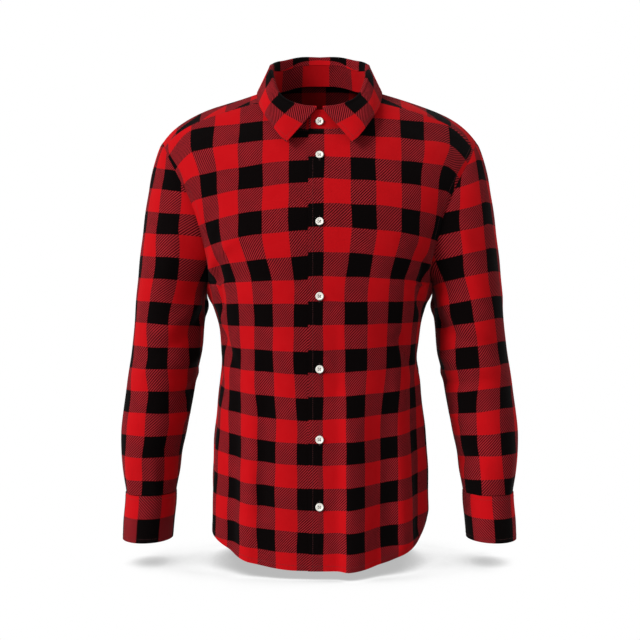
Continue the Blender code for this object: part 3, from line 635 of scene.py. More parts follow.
def cloth_piece(name, grid, flat, thick, check, closed=False, turn_over=False, sewn=(), slit=None):
    """A cloth piece from rows of points and the flat cloth's two coordinates at each, thickened
    away from the side its faces look to. Check says how the check lies on it; sewn lists the edges
    that have a line of stitches beside them, and how far in. No face is made next after the column
    slit, and the slit's sides join where they meet."""
    rows, columns = grid.shape[:2]
    faces, corners = [], []
    flat = np.stack(np.broadcast_arrays(*flat), -1)
    across = columns if closed else columns - 1
    for i in range(rows - 1):
        for j in range(across):
            if j == slit:
                continue
            k = (j + 1) % columns
            quad = [(i, j, j), (i, k, j + 1), (i + 1, k, j + 1), (i + 1, j, j)]
            if turn_over:
                quad.reverse()
            faces.append([a * columns + b for a, b, _ in quad])
            corners += [flat[a, c] for a, _, c in quad]
    mesh = new_mesh("cloth_" + name, grid.reshape(-1, 3).tolist(), faces)
    layer = mesh.uv_layers.new(name="Cloth")
    layer.data.foreach_set("uv", np.array(corners, np.float32).ravel())
    if slit is not None:
        joined = bmesh.new()
        joined.from_mesh(mesh)
        bmesh.ops.remove_doubles(joined, verts=joined.verts, dist=1e-6)
        joined.to_mesh(mesh)
        joined.free()
    outward = grid_normals(grid) * (1 if turn_over else -1)
    lines = [beside(grid, outward, edge, inset) for edge, inset in sewn]
    STITCHES[name] = [part for line in lines for part in seam(*line)]
    for material in flannel(name, **check):
        mesh.materials.append(material)
    return thickened("cloth_" + name, mesh, thick)


def thickened(name, mesh, thick):
    """The sheet as an object with a wall, smooth on its faces and sharp at its rim."""
    draft = add(name + ".draft", mesh)
    wall = draft.modifiers.new("Wall", "SOLIDIFY")
    wall.thickness, wall.offset, wall.material_offset = thick, -1, 1
    done = applied(draft, 65)
    bpy.data.objects.remove(draft, do_unlink=True)
    done.name = name
    return add(name, done)


def grid_normals(grid):
    """Unit normals of a grid of points, down the rows crossed with along them."""
    return unit(np.cross(np.gradient(grid, axis=0), np.gradient(grid, axis=1)))


def beside(grid, normals, edge, inset):
    """Points and normals on a line a set distance in from one edge of a grid of points."""
    if edge in ("left", "right"):
        grid, normals = grid.swapaxes(0, 1), normals.swapaxes(0, 1)
    if edge in ("last", "right"):
        grid, normals = grid[::-1], normals[::-1]
    way = run_length(grid)
    return [np.array([points_at(inset, way[:, j], values[:, j]) for j in range(grid.shape[1])])
            for values in (grid, normals)]


def seam(points, normals):
    """A run of stitches along a line, none over a gap in it: middle, direction, normal and half
    length of each."""
    way = run_length(points)
    for at in np.arange(STITCH_PITCH, way[-1] - STITCH_PITCH / 2, STITCH_PITCH):
        i = np.searchsorted(way, at)
        if way[i] - way[i - 1] > SEAM_GAP:
            continue
        middle = points_at(at, way, points)
        ahead = points_at(at + LOOK_ON, way, points) - middle
        yield middle, unit(ahead), points_at(at, way, normals), STITCH_LONG / 2


def thread(name, stitches, radius, material):
    """Short bars of thread that lie on the cloth, their ends pulled into it."""
    middle, ahead, up, half = (np.array([s[k] for s in stitches]) for k in range(4))
    aside = np.cross(ahead, up)
    n, bar = BAR_SIDES, BAR_SIDES * len(BAR_RINGS)
    points = []
    for along, thick, lift in BAR_RINGS:
        centre = middle + ahead * (along * half)[:, None] + up * radius * lift
        points += [centre + thick * radius * (aside * math.cos(a) + up * math.sin(a))
                   for a in np.arange(n) * 2 * math.pi / n]
    around = [(r * n + k, r * n + (k + 1) % n, (r + 1) * n + (k + 1) % n, (r + 1) * n + k)
              for r in range(len(BAR_RINGS) - 1) for k in range(n)]
    caps = [tuple(range(n))[::-1], tuple(range(bar - n, bar))]
    faces = [tuple(bar * i + k for k in face) for i in range(len(stitches))
             for face in around + caps]
    mesh = rounded(new_mesh(name, np.stack(points, 1).reshape(-1, 3).tolist(), faces))
    mesh.materials.append(material)
    piece = add(name, mesh)
    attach(piece, "root")
    return piece


def declare(piece, node, cut, side):
    """The piece rides on the shirt's body and stands for its solid. Side, _left, _right or
    nothing, is not used."""
    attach(piece, "root")
    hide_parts(node)


# ---- materials ------------------------------------------------------------------------------

RED = (0.415, 0.0024, 0.0048, 1)
WORN_RED = (0.475, 0.0070, 0.0100, 1)
BLACK = (0.0006, 0.0006, 0.0006, 1)
LIGHT_RIB = (0.330, 0.017, 0.023, 1)    # red yarn on top, in the half-tone squares
DARK_RIB = (0.026, 0.0006, 0.0010, 1)   # black yarn on top
DEEP_RIB = (0.060, 0.0008, 0.0016, 1)   # the same where the nap is worn red
MATTED = (0.118, 0.0062, 0.0085, 1)     # where the nap hides the ribs
MATTED_SHARE = 0.30                     # how much it does
WORN_AT, MATTED_AT = (0.35, 0.68), (0.40, 0.56)       # the noise between which each sets in
LOOSE, LOOSE_SHARE = (0.40, 0.16, 0.17, 1), 0.10      # the loose fibres on top
TWILL_PITCH = 0.0029                    # between two ribs of the half-tone squares
DIAGONAL = 1.414                        # times this, the same measured upright
RIB_EDGE = (TWILL_PITCH * 0.20, TWILL_PITCH * 0.40)   # a rib's soft edge, from its middle
FINE_PITCH, FINE_EDGE = 0.0016, (0.0001, 0.0008)      # the cloth's own ribs, only in its bump
EDGE_FUZZ, EDGE_SOFT = 0.0009, 0.0003   # how far the stripes' edges wander, and are soft
WRONG_SIDE_AND_SHADE = 0.5                            # how bright the cloth's inside faces are beside its outside: painted shade of the hollow shirt's inside, partly the wrong side's duller tone


class Nodes:
    """Short ways to build a node tree."""

    def __init__(self, owner, shader="Principled BSDF"):
        owner.use_nodes = True
        self.owner, self.tree = owner, owner.node_tree
        self.shader = self.tree.nodes[shader]

    def join(self, values, node):
        """Gives a node its inputs, each a number, a colour or another node's output."""
        for name, value in values.items():
            if isinstance(value, bpy.types.NodeSocket):
                self.tree.links.new(value, node.inputs[name])
            else:
                node.inputs[name].default_value = value

    def new(self, kind, output, values, **settings):
        """A new node's output."""
        node = self.tree.nodes.new("ShaderNode" + kind)
        for name, value in settings.items():
            setattr(node, name, value)
        self.join(values, node)
        return node.outputs[output]

    def surface(self, values):
        """Gives the shader its inputs."""
        self.join(values, self.shader)
        return self.owner

    def math(self, operation, *values):
        return self.new("Math", 0, dict(enumerate(values)), operation=operation)

    def split(self, vector):
        """A vector's x, y and z."""
        return self.new("SeparateXYZ", 0, {0: vector}).node.outputs

    def soft_step(self, value, low, high):
        """1 below low, 0 above high."""
        return self.new("MapRange", "Result", {"Value": value, "From Min": low, "From Max": high,
                                               "To Min": 1.0, "To Max": 0.0},
                        interpolation_type="SMOOTHSTEP")

    def noise(self, where, scale, detail=2.0, rough=0.5):
        return self.new("TexNoise", "Fac", {"Vector": where, "Scale": scale, "Detail": detail,
                                            "Roughness": rough})

    def mix(self, share, a, b):
        return self.new("Mix", "Result", {"Factor": share, "A": a, "B": b}, data_type="RGBA")

    def repeat(self, at, centre, period):
        """Distance to the nearest of lines a period apart, one of them at centre."""
        turn = self.math("FRACT", self.math("MULTIPLY_ADD", at, 1 / period, 0.5 - centre / period))
        return self.math("MULTIPLY", self.math("ABSOLUTE", self.math("SUBTRACT", turn, 0.5)), period)


def flannel(name, inside=WRONG_SIDE_AND_SHADE, **lay):
    """The materials of the cloth's outer and inner side; the inner one darker, as painted shade of the
    shirt's hollow inside and partly the wrong side's duller tone.
    """
    return twill(name, 1.0, **lay), twill(name + "_inside_shaded", inside, **lay)


def twill(name, tone, warp=0.0, weft=0.0, slant=1.0, period=(CHECK_U, CHECK_V)):
    """Brushed twill in buffalo check. warp and weft are where a black stripe's middle lies, in the
    cloth's own coordinates; slant 1 has the half-tone ribs rising to the right."""
    n = Nodes(bpy.data.materials.new(name))
    flat = n.new("UVMap", "UV", {}, uv_map="Cloth")
    x, y, _ = n.split(flat)
    fuzz = n.math("SUBTRACT", n.noise(flat, scale=700.0, detail=1.0), 0.5)
    u = n.math("MULTIPLY_ADD", fuzz, EDGE_FUZZ, x)
    v = n.math("MULTIPLY_ADD", fuzz, -EDGE_FUZZ, y)
    black_u, black_v = BLACK_U / CHECK_U * period[0] / 2, BLACK_V / CHECK_V * period[1] / 2
    across, along = (
        n.soft_step(n.repeat(at, centre, every), black - EDGE_SOFT, black + EDGE_SOFT)
        for at, centre, every, black in ((u, warp, period[0], black_u), (v, weft, period[1], black_v)))
    both = n.math("MULTIPLY", across, along)
    either = n.math("SUBTRACT", n.math("ADD", across, along), n.math("MULTIPLY", both, 2.0))
    rise = n.math("MULTIPLY_ADD", x, -slant, y)
    rib = n.soft_step(n.repeat(rise, 0.0, TWILL_PITCH * DIAGONAL), *RIB_EDGE)
    worn = n.noise(flat, scale=55.0, detail=3.0)
    fibres = n.noise(flat, scale=1500.0, detail=2.0, rough=0.6)
    dark = n.mix(n.soft_step(worn, *WORN_AT), DEEP_RIB, DARK_RIB)
    half = n.mix(rib, dark, LIGHT_RIB)
    matted = n.soft_step(n.noise(flat, scale=26.0, detail=4.0, rough=0.6), *MATTED_AT)
    half = n.mix(n.math("MULTIPLY", matted, MATTED_SHARE), half, MATTED)
    red = n.mix(n.math("MULTIPLY", worn, 0.5), RED, WORN_RED)
    base = n.mix(both, n.mix(either, red, half), BLACK)
    loose = n.math("MULTIPLY", n.math("POWER", fibres, 5.0), LOOSE_SHARE)
    nap = n.mix(loose, base, LOOSE)
    # Painted shade: the inside faces' colour is darkened toward black by 1 - tone, for the shade
    # inside the hollow shirt, partly the wrong side's duller tone.
    if tone < 1:
        nap = n.mix(1 - tone, nap, (0, 0, 0, 1))
    fine_ribs = n.soft_step(n.repeat(rise, 0.0, FINE_PITCH), *FINE_EDGE)
    height = n.math("ADD", fibres, n.math("MULTIPLY", fine_ribs, 0.5))
    bump = n.new("Bump", "Normal", {"Strength": 0.35, "Distance": 0.0005, "Height": height})
    return n.surface({"Base Color": nap, "Roughness": 0.95, "Specular IOR Level": 0.012,
                      "Sheen Weight": 0.022, "Sheen Roughness": 0.5, "Normal": bump})


def plain(name, colour, rough):
    """A single-colour material with a little uneven tone."""
    n = Nodes(bpy.data.materials.new(name))
    tone = n.noise(n.new("TexCoord", "Object", {}), scale=900.0)
    darker = tuple(c * 0.86 for c in colour[:3]) + (1,)
    return n.surface({"Base Color": n.mix(tone, darker, colour), "Roughness": rough})


# ---- fronts, back and yoke ------------------------------------------------------------------

LEVELS_LOW = np.linspace(0, 1, 84)       # the panels' rows below the underarm


def fan(inner, outer, columns):
    """Places between two lists of (share, level), one row a pair."""
    q = np.linspace(0, 1, columns)
    inner, outer = np.array(inner)[:, None], np.array(outer)[:, None]
    share = inner[..., 0] + (outer[..., 0] - inner[..., 0]) * q
    level = inner[..., 1] + (outer[..., 1] - inner[..., 1]) * q
    return share, level


def eased(d, height, z):
    """The flat cloth's coordinates at a place on a front, with folds, drift and easing in."""
    near, right = np.abs(d), d < 0
    low, hip = 1 - step_up(*CHEST, z), 1 - step_up(*HIPS, z)
    waist, hips = (np.where(right, read(TAKE_UP, "right_" + k, near),
                            read(TAKE_UP, "left_" + k, near)) for k in ("waist", "hip"))
    drag = read(DRAG, "takes", near) * (1 - step_up(*DRAG_ENDS, z))
    hidden = (waist + (hips - waist) * hip) * low + drag * (1 - low)
    run = np.where(right, read(DRIFT, "right", z), read(DRIFT, "left", z))
    run = run * (near / DRIFT_AT) ** DRIFT_POWER
    u = (near + hidden) * np.where(right, -1, 1) + FRONT_SHIFT[0] * sway(d, z)
    return u, np.log(1 + EASE * (height + run)) / EASE + FRONT_SHIFT[1] * sway(z, d)


def front(side):
    """side 1 is the wearer's left front, which laps over; -1 the right, underneath."""
    rising = np.linspace(1, 1.60, 28)[1:]
    turns = np.concatenate([[-turn_at(LAP), -3.0, -0.6, 0.6, 3.0], np.linspace(7, SEAM_TURN, 28)])
    inner = [(-LAP / FRONT.round_at(v), v) for v in (*LEVELS_LOW, *rising)]
    for turn in turns:
        _, share, level = neckline(abs(turn), NECK_GAP)
        inner.append((math.copysign(share, turn), level))
    inner[-1] = (inner[-1][0], FRONT_SEAM - LEVEL_GAP)
    rows = len(inner) - len(LEVELS_LOW)
    outer = [(1.0, v)
             for v in (*LEVELS_LOW, *np.linspace(1, FRONT_SEAM - LEVEL_GAP, rows + 1)[1:])]
    share, level = fan(inner, outer, 56)
    lift = 0.0
    if side < 0:
        u = share * FRONT.round_at(level)
        lift = -LAP_STEP * step_up(0.0, LAP_EASE, LAP_REACH - u)
    grid = FRONT.cloth(share * side, level, lift)
    d, height = FRONT.flat(share * side, level)
    u, v = eased(d, height, FRONT.place(share, level)[..., 2])
    if side < 0:
        v = v + RIGHT_DROP * step_up(*RIGHT_DROPS, grid[..., 2])
    return cloth_piece("front_" + SIDES[side], grid, (u, v), CLOTH,
                       dict(warp=-0.0120 if side > 0 else -0.0250, weft=BODY_WEFT),
                       turn_over=side < 0,
                       sewn=(("first", AT_HEM), ("left", AT_FRONT), ("right", OVER_SEAM)))


def back():
    levels = np.array([*LEVELS_LOW, *np.linspace(1, BACK_SEAM - LEVEL_GAP, 40)[1:]])
    share, level = np.meshgrid(np.linspace(-1, 1, 111), levels)
    d, height = BACK.flat(share, level)
    v = np.log(1 + EASE * height) / EASE
    return cloth_piece("back", BACK.cloth(share, level), (d, v), CLOTH, dict(weft=BODY_WEFT),
                       turn_over=True, sewn=(("first", AT_HEM),))


def yoke():
    """From the back seam up over the shoulders and down to the seams on the fronts. Along runs
    from BACK_SEAM up to the shoulder at 2 and on down the front, to 4 - FRONT_SEAM."""
    inner = []
    for turn in (180.0, *np.linspace(176, SEAM_TURN, 44)):
        face, share, level = neckline(turn, NECK_GAP)
        inner.append((share if turn < 179 else 0.0, level if face is BACK else 4 - level))
    climb = [(0.0, v) for v in np.linspace(BACK_SEAM, inner[0][1], 16)[:-1]]
    inner = climb + inner[:-1] + [(inner[-1][0], 4 - FRONT_SEAM)]
    outer = [(1.0, v) for v in np.linspace(BACK_SEAM, 4 - FRONT_SEAM, len(inner))]
    half = 48
    share, along = fan(inner, outer, half)
    share = np.concatenate([-share[:, ::-1], share], 1)
    along = np.concatenate([along[:, ::-1], along], 1)
    behind, ahead = np.minimum(along, 2), np.minimum(4 - along, 2)
    is_back = along <= 2
    grid = np.where(is_back[..., None], BACK.cloth(share, behind), FRONT.cloth(share, ahead))
    d_back, up_back = BACK.flat(share, behind)
    d_front, up_front = FRONT.flat(share, ahead)
    ridge_back = BACK.flat(share, 2 + 0 * share)[1]
    ridge_front = FRONT.flat(share, 2 + 0 * share)[1]
    flat = (np.where(is_back, d_back, d_front),
            np.where(is_back, up_back, ridge_back + ridge_front - up_front))
    return cloth_piece("yoke", grid, flat, CLOTH,
                       # inside 0.3: the yoke's inside faces are darkened most, painted shade where the
                       # neck opening shows them
                       dict(warp=0.028, weft=0.30, period=(0.0745, 0.067), inside=0.3),
                       turn_over=True, slit=half - 1,
                       sewn=(("first", CLOSE), ("first", OVER_SEAM), ("last", CLOSE),
                             ("left", OVER_SEAM), ("right", OVER_SEAM)))


# ---- sleeves and cuffs ----------------------------------------------------------------------

# The armhole's edge: its points, how far round it each lies, and how far the shoulder's does.
ARM_LEVELS = np.linspace(1, 2, 201)
ROUND_ARM = np.concatenate([FRONT.place(1.0, ARM_LEVELS), BACK.place(1.0, ARM_LEVELS[::-1])[1:]])
WAY = run_length(ROUND_ARM)
TOP = WAY[len(ARM_LEVELS) - 1]

# Creases of a sleeve, on it as (degrees round from the inner seam by way of the front, height).
Crease = namedtuple("Crease", "side turn0 z0 turn1 z1 width height bow")
CREASES = (
    Crease(0, 34, -0.318, 106, -0.366, 0.011, 0.0044, 0.006),
    Crease(1, 25, -0.350, 128, -0.392, 0.009, -0.0036, 0.004),
    Crease(-1, 18, -0.342, 118, -0.402, 0.010, -0.0040, 0.005),
    Crease(0, 20, -0.398, 122, -0.418, 0.010, 0.0038, 0.005),
    Crease(1, 14, -0.436, 96, -0.434, 0.008, -0.0036, 0.003),
    Crease(-1, 10, -0.448, 112, -0.452, 0.009, -0.0040, 0.004),
    Crease(0, 12, -0.482, 92, -0.500, 0.010, 0.0034, 0.003),
    Crease(-1, 30, -0.534, 120, -0.520, 0.010, -0.0024, 0.003),
    Crease(1, 24, -0.548, 100, -0.530, 0.010, -0.0024, 0.003),
    Crease(0, 348, -0.322, 252, -0.382, 0.012, 0.0048, 0.006),
    Crease(1, 342, -0.372, 236, -0.412, 0.010, -0.0044, 0.005),
    Crease(-1, 340, -0.390, 246, -0.424, 0.010, -0.0044, 0.005),
    Crease(0, 336, -0.424, 232, -0.452, 0.011, 0.0042, 0.004),
    Crease(1, 330, -0.476, 246, -0.482, 0.009, -0.0034, 0.003),
    Crease(-1, 326, -0.462, 228, -0.490, 0.010, -0.0036, 0.003),
    Crease(1, 168, -0.330, 206, -0.448, 0.013, -0.0024, 0.006),
    Crease(-1, 184, -0.290, 196, -0.430, 0.014, -0.0026, -0.006),
    Crease(0, 262, -0.190, 244, -0.300, 0.012, 0.0034, 0.004),
    Crease(0, 70, -0.220, 104, -0.310, 0.011, 0.0028, 0.004),
    Crease(0, 66, -0.602, 74, -0.548, 0.008, 0.0024, 0.000),
    Crease(0, 132, -0.602, 128, -0.540, 0.008, 0.0026, 0.000),
    Crease(0, 196, -0.602, 200, -0.520, 0.008, 0.0032, 0.000),
    Crease(0, 222, -0.602, 220, -0.560, 0.006, -0.0024, 0.000),
    Crease(0, 262, -0.602, 256, -0.530, 0.008, 0.0034, 0.000),
    Crease(0, 290, -0.602, 286, -0.550, 0.006, -0.0026, 0.000),
    Crease(0, 318, -0.602, 310, -0.540, 0.008, 0.0030, 0.000),
)


def armhole(share):
    """Points round the armhole from the underarm (0) by way of the front to the shoulder (0.5)
    and down the back (1)."""
    way = np.where(share < 0.5, share * 2 * TOP, TOP + (share * 2 - 1) * (WAY[-1] - TOP))
    return points_at(way, WAY, ROUND_ARM)


def arm_row(table, z):
    """Inner and outer side, middle, and reach in front and behind, of the arm at a height."""
    return [read(table, name, z) for name in Arm._fields[1:]]


def ring(table, share, z, grow=0.0):
    """Points round the arm at a height, from the inner seam by way of the front."""
    inner, outer, middle, ahead, behind = arm_row(table, z)
    a = share * 2 * math.pi
    deep = np.where(np.sin(a) >= 0, ahead, behind) + grow
    x = (inner + outer) / 2 - ((outer - inner) / 2 + grow) * np.cos(a)
    return np.stack([x, middle - deep * np.sin(a), z + 0 * a], -1)


def rings(table, share, heights, grow=0.0):
    """One ring of points for each height."""
    return np.array([ring(table, share, z + 0 * share, grow) for z in heights])


def cap(share, t):
    """The sleeve between the armhole (t 0) and its first full row (t 1), on a smooth curve."""
    turn = share * 360
    start = armhole(share)
    out = unit(np.stack([read(CAP, k, turn) for k in ("out_x", "out_y", "out_z")], -1))
    start = start - out * TUCK
    below, end = rings(SLEEVE, share, (ARM_TOP - 0.02, ARM_TOP))
    down = unit(below - end)
    p1 = start + out * read(CAP, "reach", turn)[..., None]
    p2 = end - down * read(CAP, "run_in", turn)[..., None]
    t = t[..., None]
    return (start * (1 - t) ** 3 + p1 * 3 * t * (1 - t) ** 2
            + p2 * 3 * t * t * (1 - t) + end * t**3)


def from_front(points, share, front):
    """How far along a line of points each one lies, counted from the share front."""
    way = run_length(points)
    return way - np.interp(front, share, way)


ARM_SHARES, ARM_HEIGHTS = np.linspace(0, 1, 181), np.linspace(ARM_END, ARM_TOP, 24)
ARM_WAYS = np.array([from_front(points, ARM_SHARES, FRONT_MIDDLE)
                     for points in rings(SLEEVE, ARM_SHARES, ARM_HEIGHTS)])


def arm_round(turn, z):
    """Distance round the arm from its front middle, outward positive, at a turn in degrees."""
    row = (z - ARM_HEIGHTS[0]) / (ARM_HEIGHTS[1] - ARM_HEIGHTS[0])
    return on_grid(ARM_WAYS, row, turn / 360 * (len(ARM_SHARES) - 1))


# Where the check lies on each sleeve, whose grain isn't quite upright: a black stripe's middle,
# outward from the front's middle line, and how much the rows rise outward.
Grain = namedtuple("Grain", "z right left right_tilt left_tilt")
GRAIN = (
    Grain(-0.600, -0.009, -0.032, 0.02, 0.05),
    Grain(-0.525, -0.013, -0.038, 0.02, 0.08),
    Grain(-0.462, -0.008, -0.030, 0.00, 0.11),
    Grain(-0.401, 0.004, -0.018, 0.02, 0.12),
    Grain(-0.336, 0.007, -0.021, 0.08, 0.16),
    Grain(-0.273, -0.004, -0.033, 0.06, 0.20),
    Grain(-0.209, -0.007, -0.038, 0.10, 0.28),
    Grain(-0.140, -0.013, -0.040, 0.15, 0.32),
)


def sleeve(side):
    """From under the armhole's edge down to the cuff, in rows round the arm."""
    around = np.linspace(0, 1, 91)
    upper = np.array([cap(around, t + 0 * around) for t in np.linspace(0, 1, 44)])
    lower = rings(SLEEVE, around, np.linspace(ARM_TOP, ARM_END + SEAM, 58)[1:])
    grid = np.concatenate([upper, lower])
    z = grid[..., 2]
    low_z = np.minimum(z, ARM_TOP)
    inner, outer, middle, reach, _ = arm_row(SLEEVE, low_z)
    ahead = (middle - grid[..., 1]) / reach
    inward = ((inner + outer) / 2 - grid[..., 0]) / ((outer - inner) / 2)
    share_turn = around * 360 + 0 * z
    turn = np.degrees(np.arctan2(ahead, inward))
    turn = share_turn + (turn - share_turn + 180) % 360 - 180
    blend = step_up(*ROUND_BLEND, z - ARM_TOP)
    turn = np.clip(share_turn * (1 - blend) + turn * blend, 0, 360)
    u = arm_round(turn, low_z)
    height = SLEEVE_SWAY * sway(u, z)
    for c in CREASES:
        if c.side in (0, side):
            u0, u1 = (float(arm_round(np.float64(t), np.float64(h)))
                      for t, h in ((c.turn0, c.z0), (c.turn1, c.z1)))
            fold = Fold(u0, c.z0, u1, c.z1, c.width, c.height, c.bow)
            height = height + ridge(fold, u, z)
    height = height * step_up(0, SLEEVE_CALM, np.minimum(around, 1 - around))
    row = np.arange(len(grid))[:, None]
    height = height * step_up(0, CALM_ROWS, row) - HEAD_SINKS * (1 - step_up(0, SINK_ROWS, row))
    grid = grid + grid_normals(grid) * height[..., None]
    drift = read(GRAIN, SIDES[side], z)
    tilt = read(GRAIN, SIDES[side] + "_tilt", z) * np.clip(u - drift, *TILT_REACH)
    flat = ((u - drift) * side + SLEEVE_SHIFT[0] * sway(u, z),
            z - tilt + SLEEVE_SHIFT[1] * sway(z, u))
    return cloth_piece("sleeve_" + SIDES[side], grid[:, :-1] * (side, 1, 1), flat, CLOTH,
                       dict(warp=0.0, weft=-0.3355, period=SLEEVE_CHECK),
                       closed=True, turn_over=side > 0)


def cuff(side):
    """A band lapped over itself; its upper end lies outside the lower one."""
    turn = CUFF_OPENING / 360
    lap = CUFF_LAP / (2 * math.pi * CUFF_RADIUS)
    share = np.linspace(turn - lap / 2, turn + 1 + lap / 2, 90)
    tuck = step_up(*(turn + 1 - lap * np.array(CUFF_TUCK)), share) * (BAND + SEAM)
    grid = rings(CUFF, share, np.linspace(CUFF_TOP - SEAM, CUFF_END, 14), -tuck)
    u = from_front(grid[len(grid) // 2], share, 1 + FRONT_MIDDLE)
    return cloth_piece("cuff_" + SIDES[side], grid * (side, 1, 1), (u * side, grid[..., 2]), BAND,
                       dict(warp=0.007 if side < 0 else 0.015, weft=-0.648, slant=-1.0,
                            period=(0.070, 0.070)),
                       turn_over=side > 0,
                       sewn=[(edge, ON_BAND) for edge in ("first", "last", "left", "right")])


def placket(side):
    """The strip over the slit above the cuff, on the sleeve's own points and moved out."""
    share = np.linspace(-PLACKET_HALF, PLACKET_HALF, 8)
    heights = np.linspace(ARM_END + PLACKET_LONG, ARM_END + 2 * SEAM, 26)
    grid = rings(SLEEVE, CUFF_OPENING / 360 + share, heights, SEAM + CLOTH)
    return cloth_piece("sleeve_placket_" + SIDES[side], grid * (side, 1, 1),
                       (share * PLACKET_ROUND * side, grid[..., 2]), CLOTH * 0.8,
                       dict(warp=0.02, weft=-0.3355, period=SLEEVE_CHECK),
                       turn_over=side > 0, sewn=(("left", CLOSE), ("right", CLOSE)))


# ---- collar ---------------------------------------------------------------------------------

def stand_point(turn, up, out=0.0):
    """A point of the stand's outer face: turn from the centre front, negative on the wearer's
    right, and height above the neck seam."""
    x, y = neck_at(turn, out - SEAM - STAND_LEAN * up / STAND_HEIGHT)
    z = np.interp(np.abs(turn), NECK_TURNS, NECK_HEIGHTS)
    return np.stack([x, y, z + up], -1)


def stand_height(turn):
    """Lower in front than behind."""
    return np.interp(np.abs(turn), STAND_GROWS, (STAND_FRONT, STAND_HEIGHT))


# Turns at which stand and fall have their points, closer together at the front ends.
ROUND = np.concatenate([[1.2, 2, 3, 4.5, 6.5, 9], np.linspace(12, 180, 64)])


def stand():
    """A band round the neck: the end on the wearer's left laps over the other."""
    lap = turn_at(STAND_LAP)
    turn = np.concatenate([[-lap, -4, -1.2], ROUND, 360 - ROUND[-2::-1], [361.2, 364, 360 + lap]])
    tuck = -step_up(0, UNDER_EASE, UNDER_END - turn) * (BAND + SEAM)
    signed = np.where(turn > 180, turn - 360, turn) * -1
    rise = np.linspace(0, 1, 9)
    grid = np.array([stand_point(signed, (stand_height(signed) + STAND_FOOT) * up - STAND_FOOT, tuck)
                     for up in rise])
    length = run_length(grid[len(grid) // 2])
    length = length - length[len(length) // 2]
    return cloth_piece("collar_stand", grid, (-length, rise[:, None] * STAND_HEIGHT), BAND,
                       # inside 0.72: the stand's inside faces are a little darkened, painted shade
                       dict(warp=0.0486, weft=0.05, period=(0.085, 0.070), inside=0.72),
                       turn_over=True, sewn=(("first", CLOSE), ("left", CLOSE), ("right", CLOSE)))


def fall_row(turn, name):
    return read(FALL, name, np.abs(turn))


def fall():
    """The fall: up from the stand, over the roll, then out and down to its free edge."""
    turns = np.concatenate([ROUND, -ROUND[-2::-1]])
    side = np.where(turns < 0, -1.0, 1.0)
    roll = fall_row(turns, "roll")
    root = stand_point(turns, stand_height(turns) + SEAM, FALL_ROOT)
    a = np.radians(np.abs(turns))
    outward = np.stack([np.sin(a) * side, -np.cos(a), 0 * a], -1)
    up = np.array([0, 0, 1.0])
    rows = [root, root + up * roll[:, None]]
    top = rows[-1] + outward * ROLL_RADIUS
    for bend in np.linspace(20, 160, 9):
        b = math.radians(bend)
        rows.append(top - outward * ROLL_RADIUS * math.cos(b) + up * ROLL_RADIUS * math.sin(b))
    start = top + outward * ROLL_RADIUS
    edge = np.stack([fall_row(turns, "edge_x") * side, fall_row(turns, "edge_y"),
                     fall_row(turns, "edge_z")], -1)
    swell = fall_row(turns, "swell")[:, None] * outward
    for t in np.linspace(0, 1, 14):
        rows.append(start + (edge - start) * t + swell * 4 * t * (1 - t))
    grid = np.array(rows)
    down = run_length(grid)
    edge_half = run_length(grid[-1])[-1] / 2
    across = []
    for row in grid:
        way = run_length(row)
        half = way[-1] / 2
        across.append(smooth([0, LEAF, half - NAPE, half],
                             [0, LEAF, edge_half - NAPE_STRETCH * NAPE, edge_half],
                             np.minimum(way, way[-1] - way)))
    across = np.array(across)
    slant = np.interp(across, [0, LEAF, 2 * LEAF], [0, LEAF_SLANT * LEAF, 0])
    return cloth_piece("collar", grid, (across, down[-1] - down + slant), BAND,
                       dict(warp=0.049, weft=0.0541, period=(0.0689, 0.070)),
                       turn_over=True,
                       sewn=(("last", ON_BAND), ("left", ON_BAND), ("right", ON_BAND)))


# ---- buttons --------------------------------------------------------------------------------

HOLE_STITCHES, BUTTON_THREAD = [], []


def button_mesh():
    """A cream button, rim round a dished middle, with four holes."""
    r, t = BUTTON_RADIUS, BUTTON_THICK
    outline = ((0.0, 0.0), (0.70 * r, 0.0), (0.9 * r, 0.12 * t), (r, 0.45 * t), (0.985 * r, 0.75 * t),
               (0.93 * r, 0.92 * t), (0.86 * r, t), (0.76 * r, 0.97 * t), (0.66 * r, 0.76 * t),
               (0.56 * r, 0.68 * t), (0.0, 0.66 * t))
    mesh = new_mesh("button", [(x, 0, z) for x, z in outline], (),
                    [(i, i + 1) for i in range(len(outline) - 1)])
    body = add("button.draft", mesh)
    turned = body.modifiers.new("Turned", "SCREW")
    turned.steps = turned.render_steps = 40
    turned.use_merge_vertices, turned.merge_threshold = True, 0.00005
    turned.use_normal_calculate = True
    drills = []
    for k in range(4):
        a = math.radians(45 + 90 * k)
        bpy.ops.mesh.primitive_cylinder_add(
            vertices=16, radius=BUTTON_HOLE, depth=4 * t,
            location=(HOLE_OUT * math.cos(a), HOLE_OUT * math.sin(a), 0))
        drill = bpy.context.object
        cut = body.modifiers.new("Hole", "BOOLEAN")
        cut.object, cut.operation, cut.solver = drill, "DIFFERENCE", "EXACT"
        drills.append(drill)
    done = applied(body, 40)
    for spare in (*drills, body):
        bpy.data.objects.remove(spare, do_unlink=True)
    return done


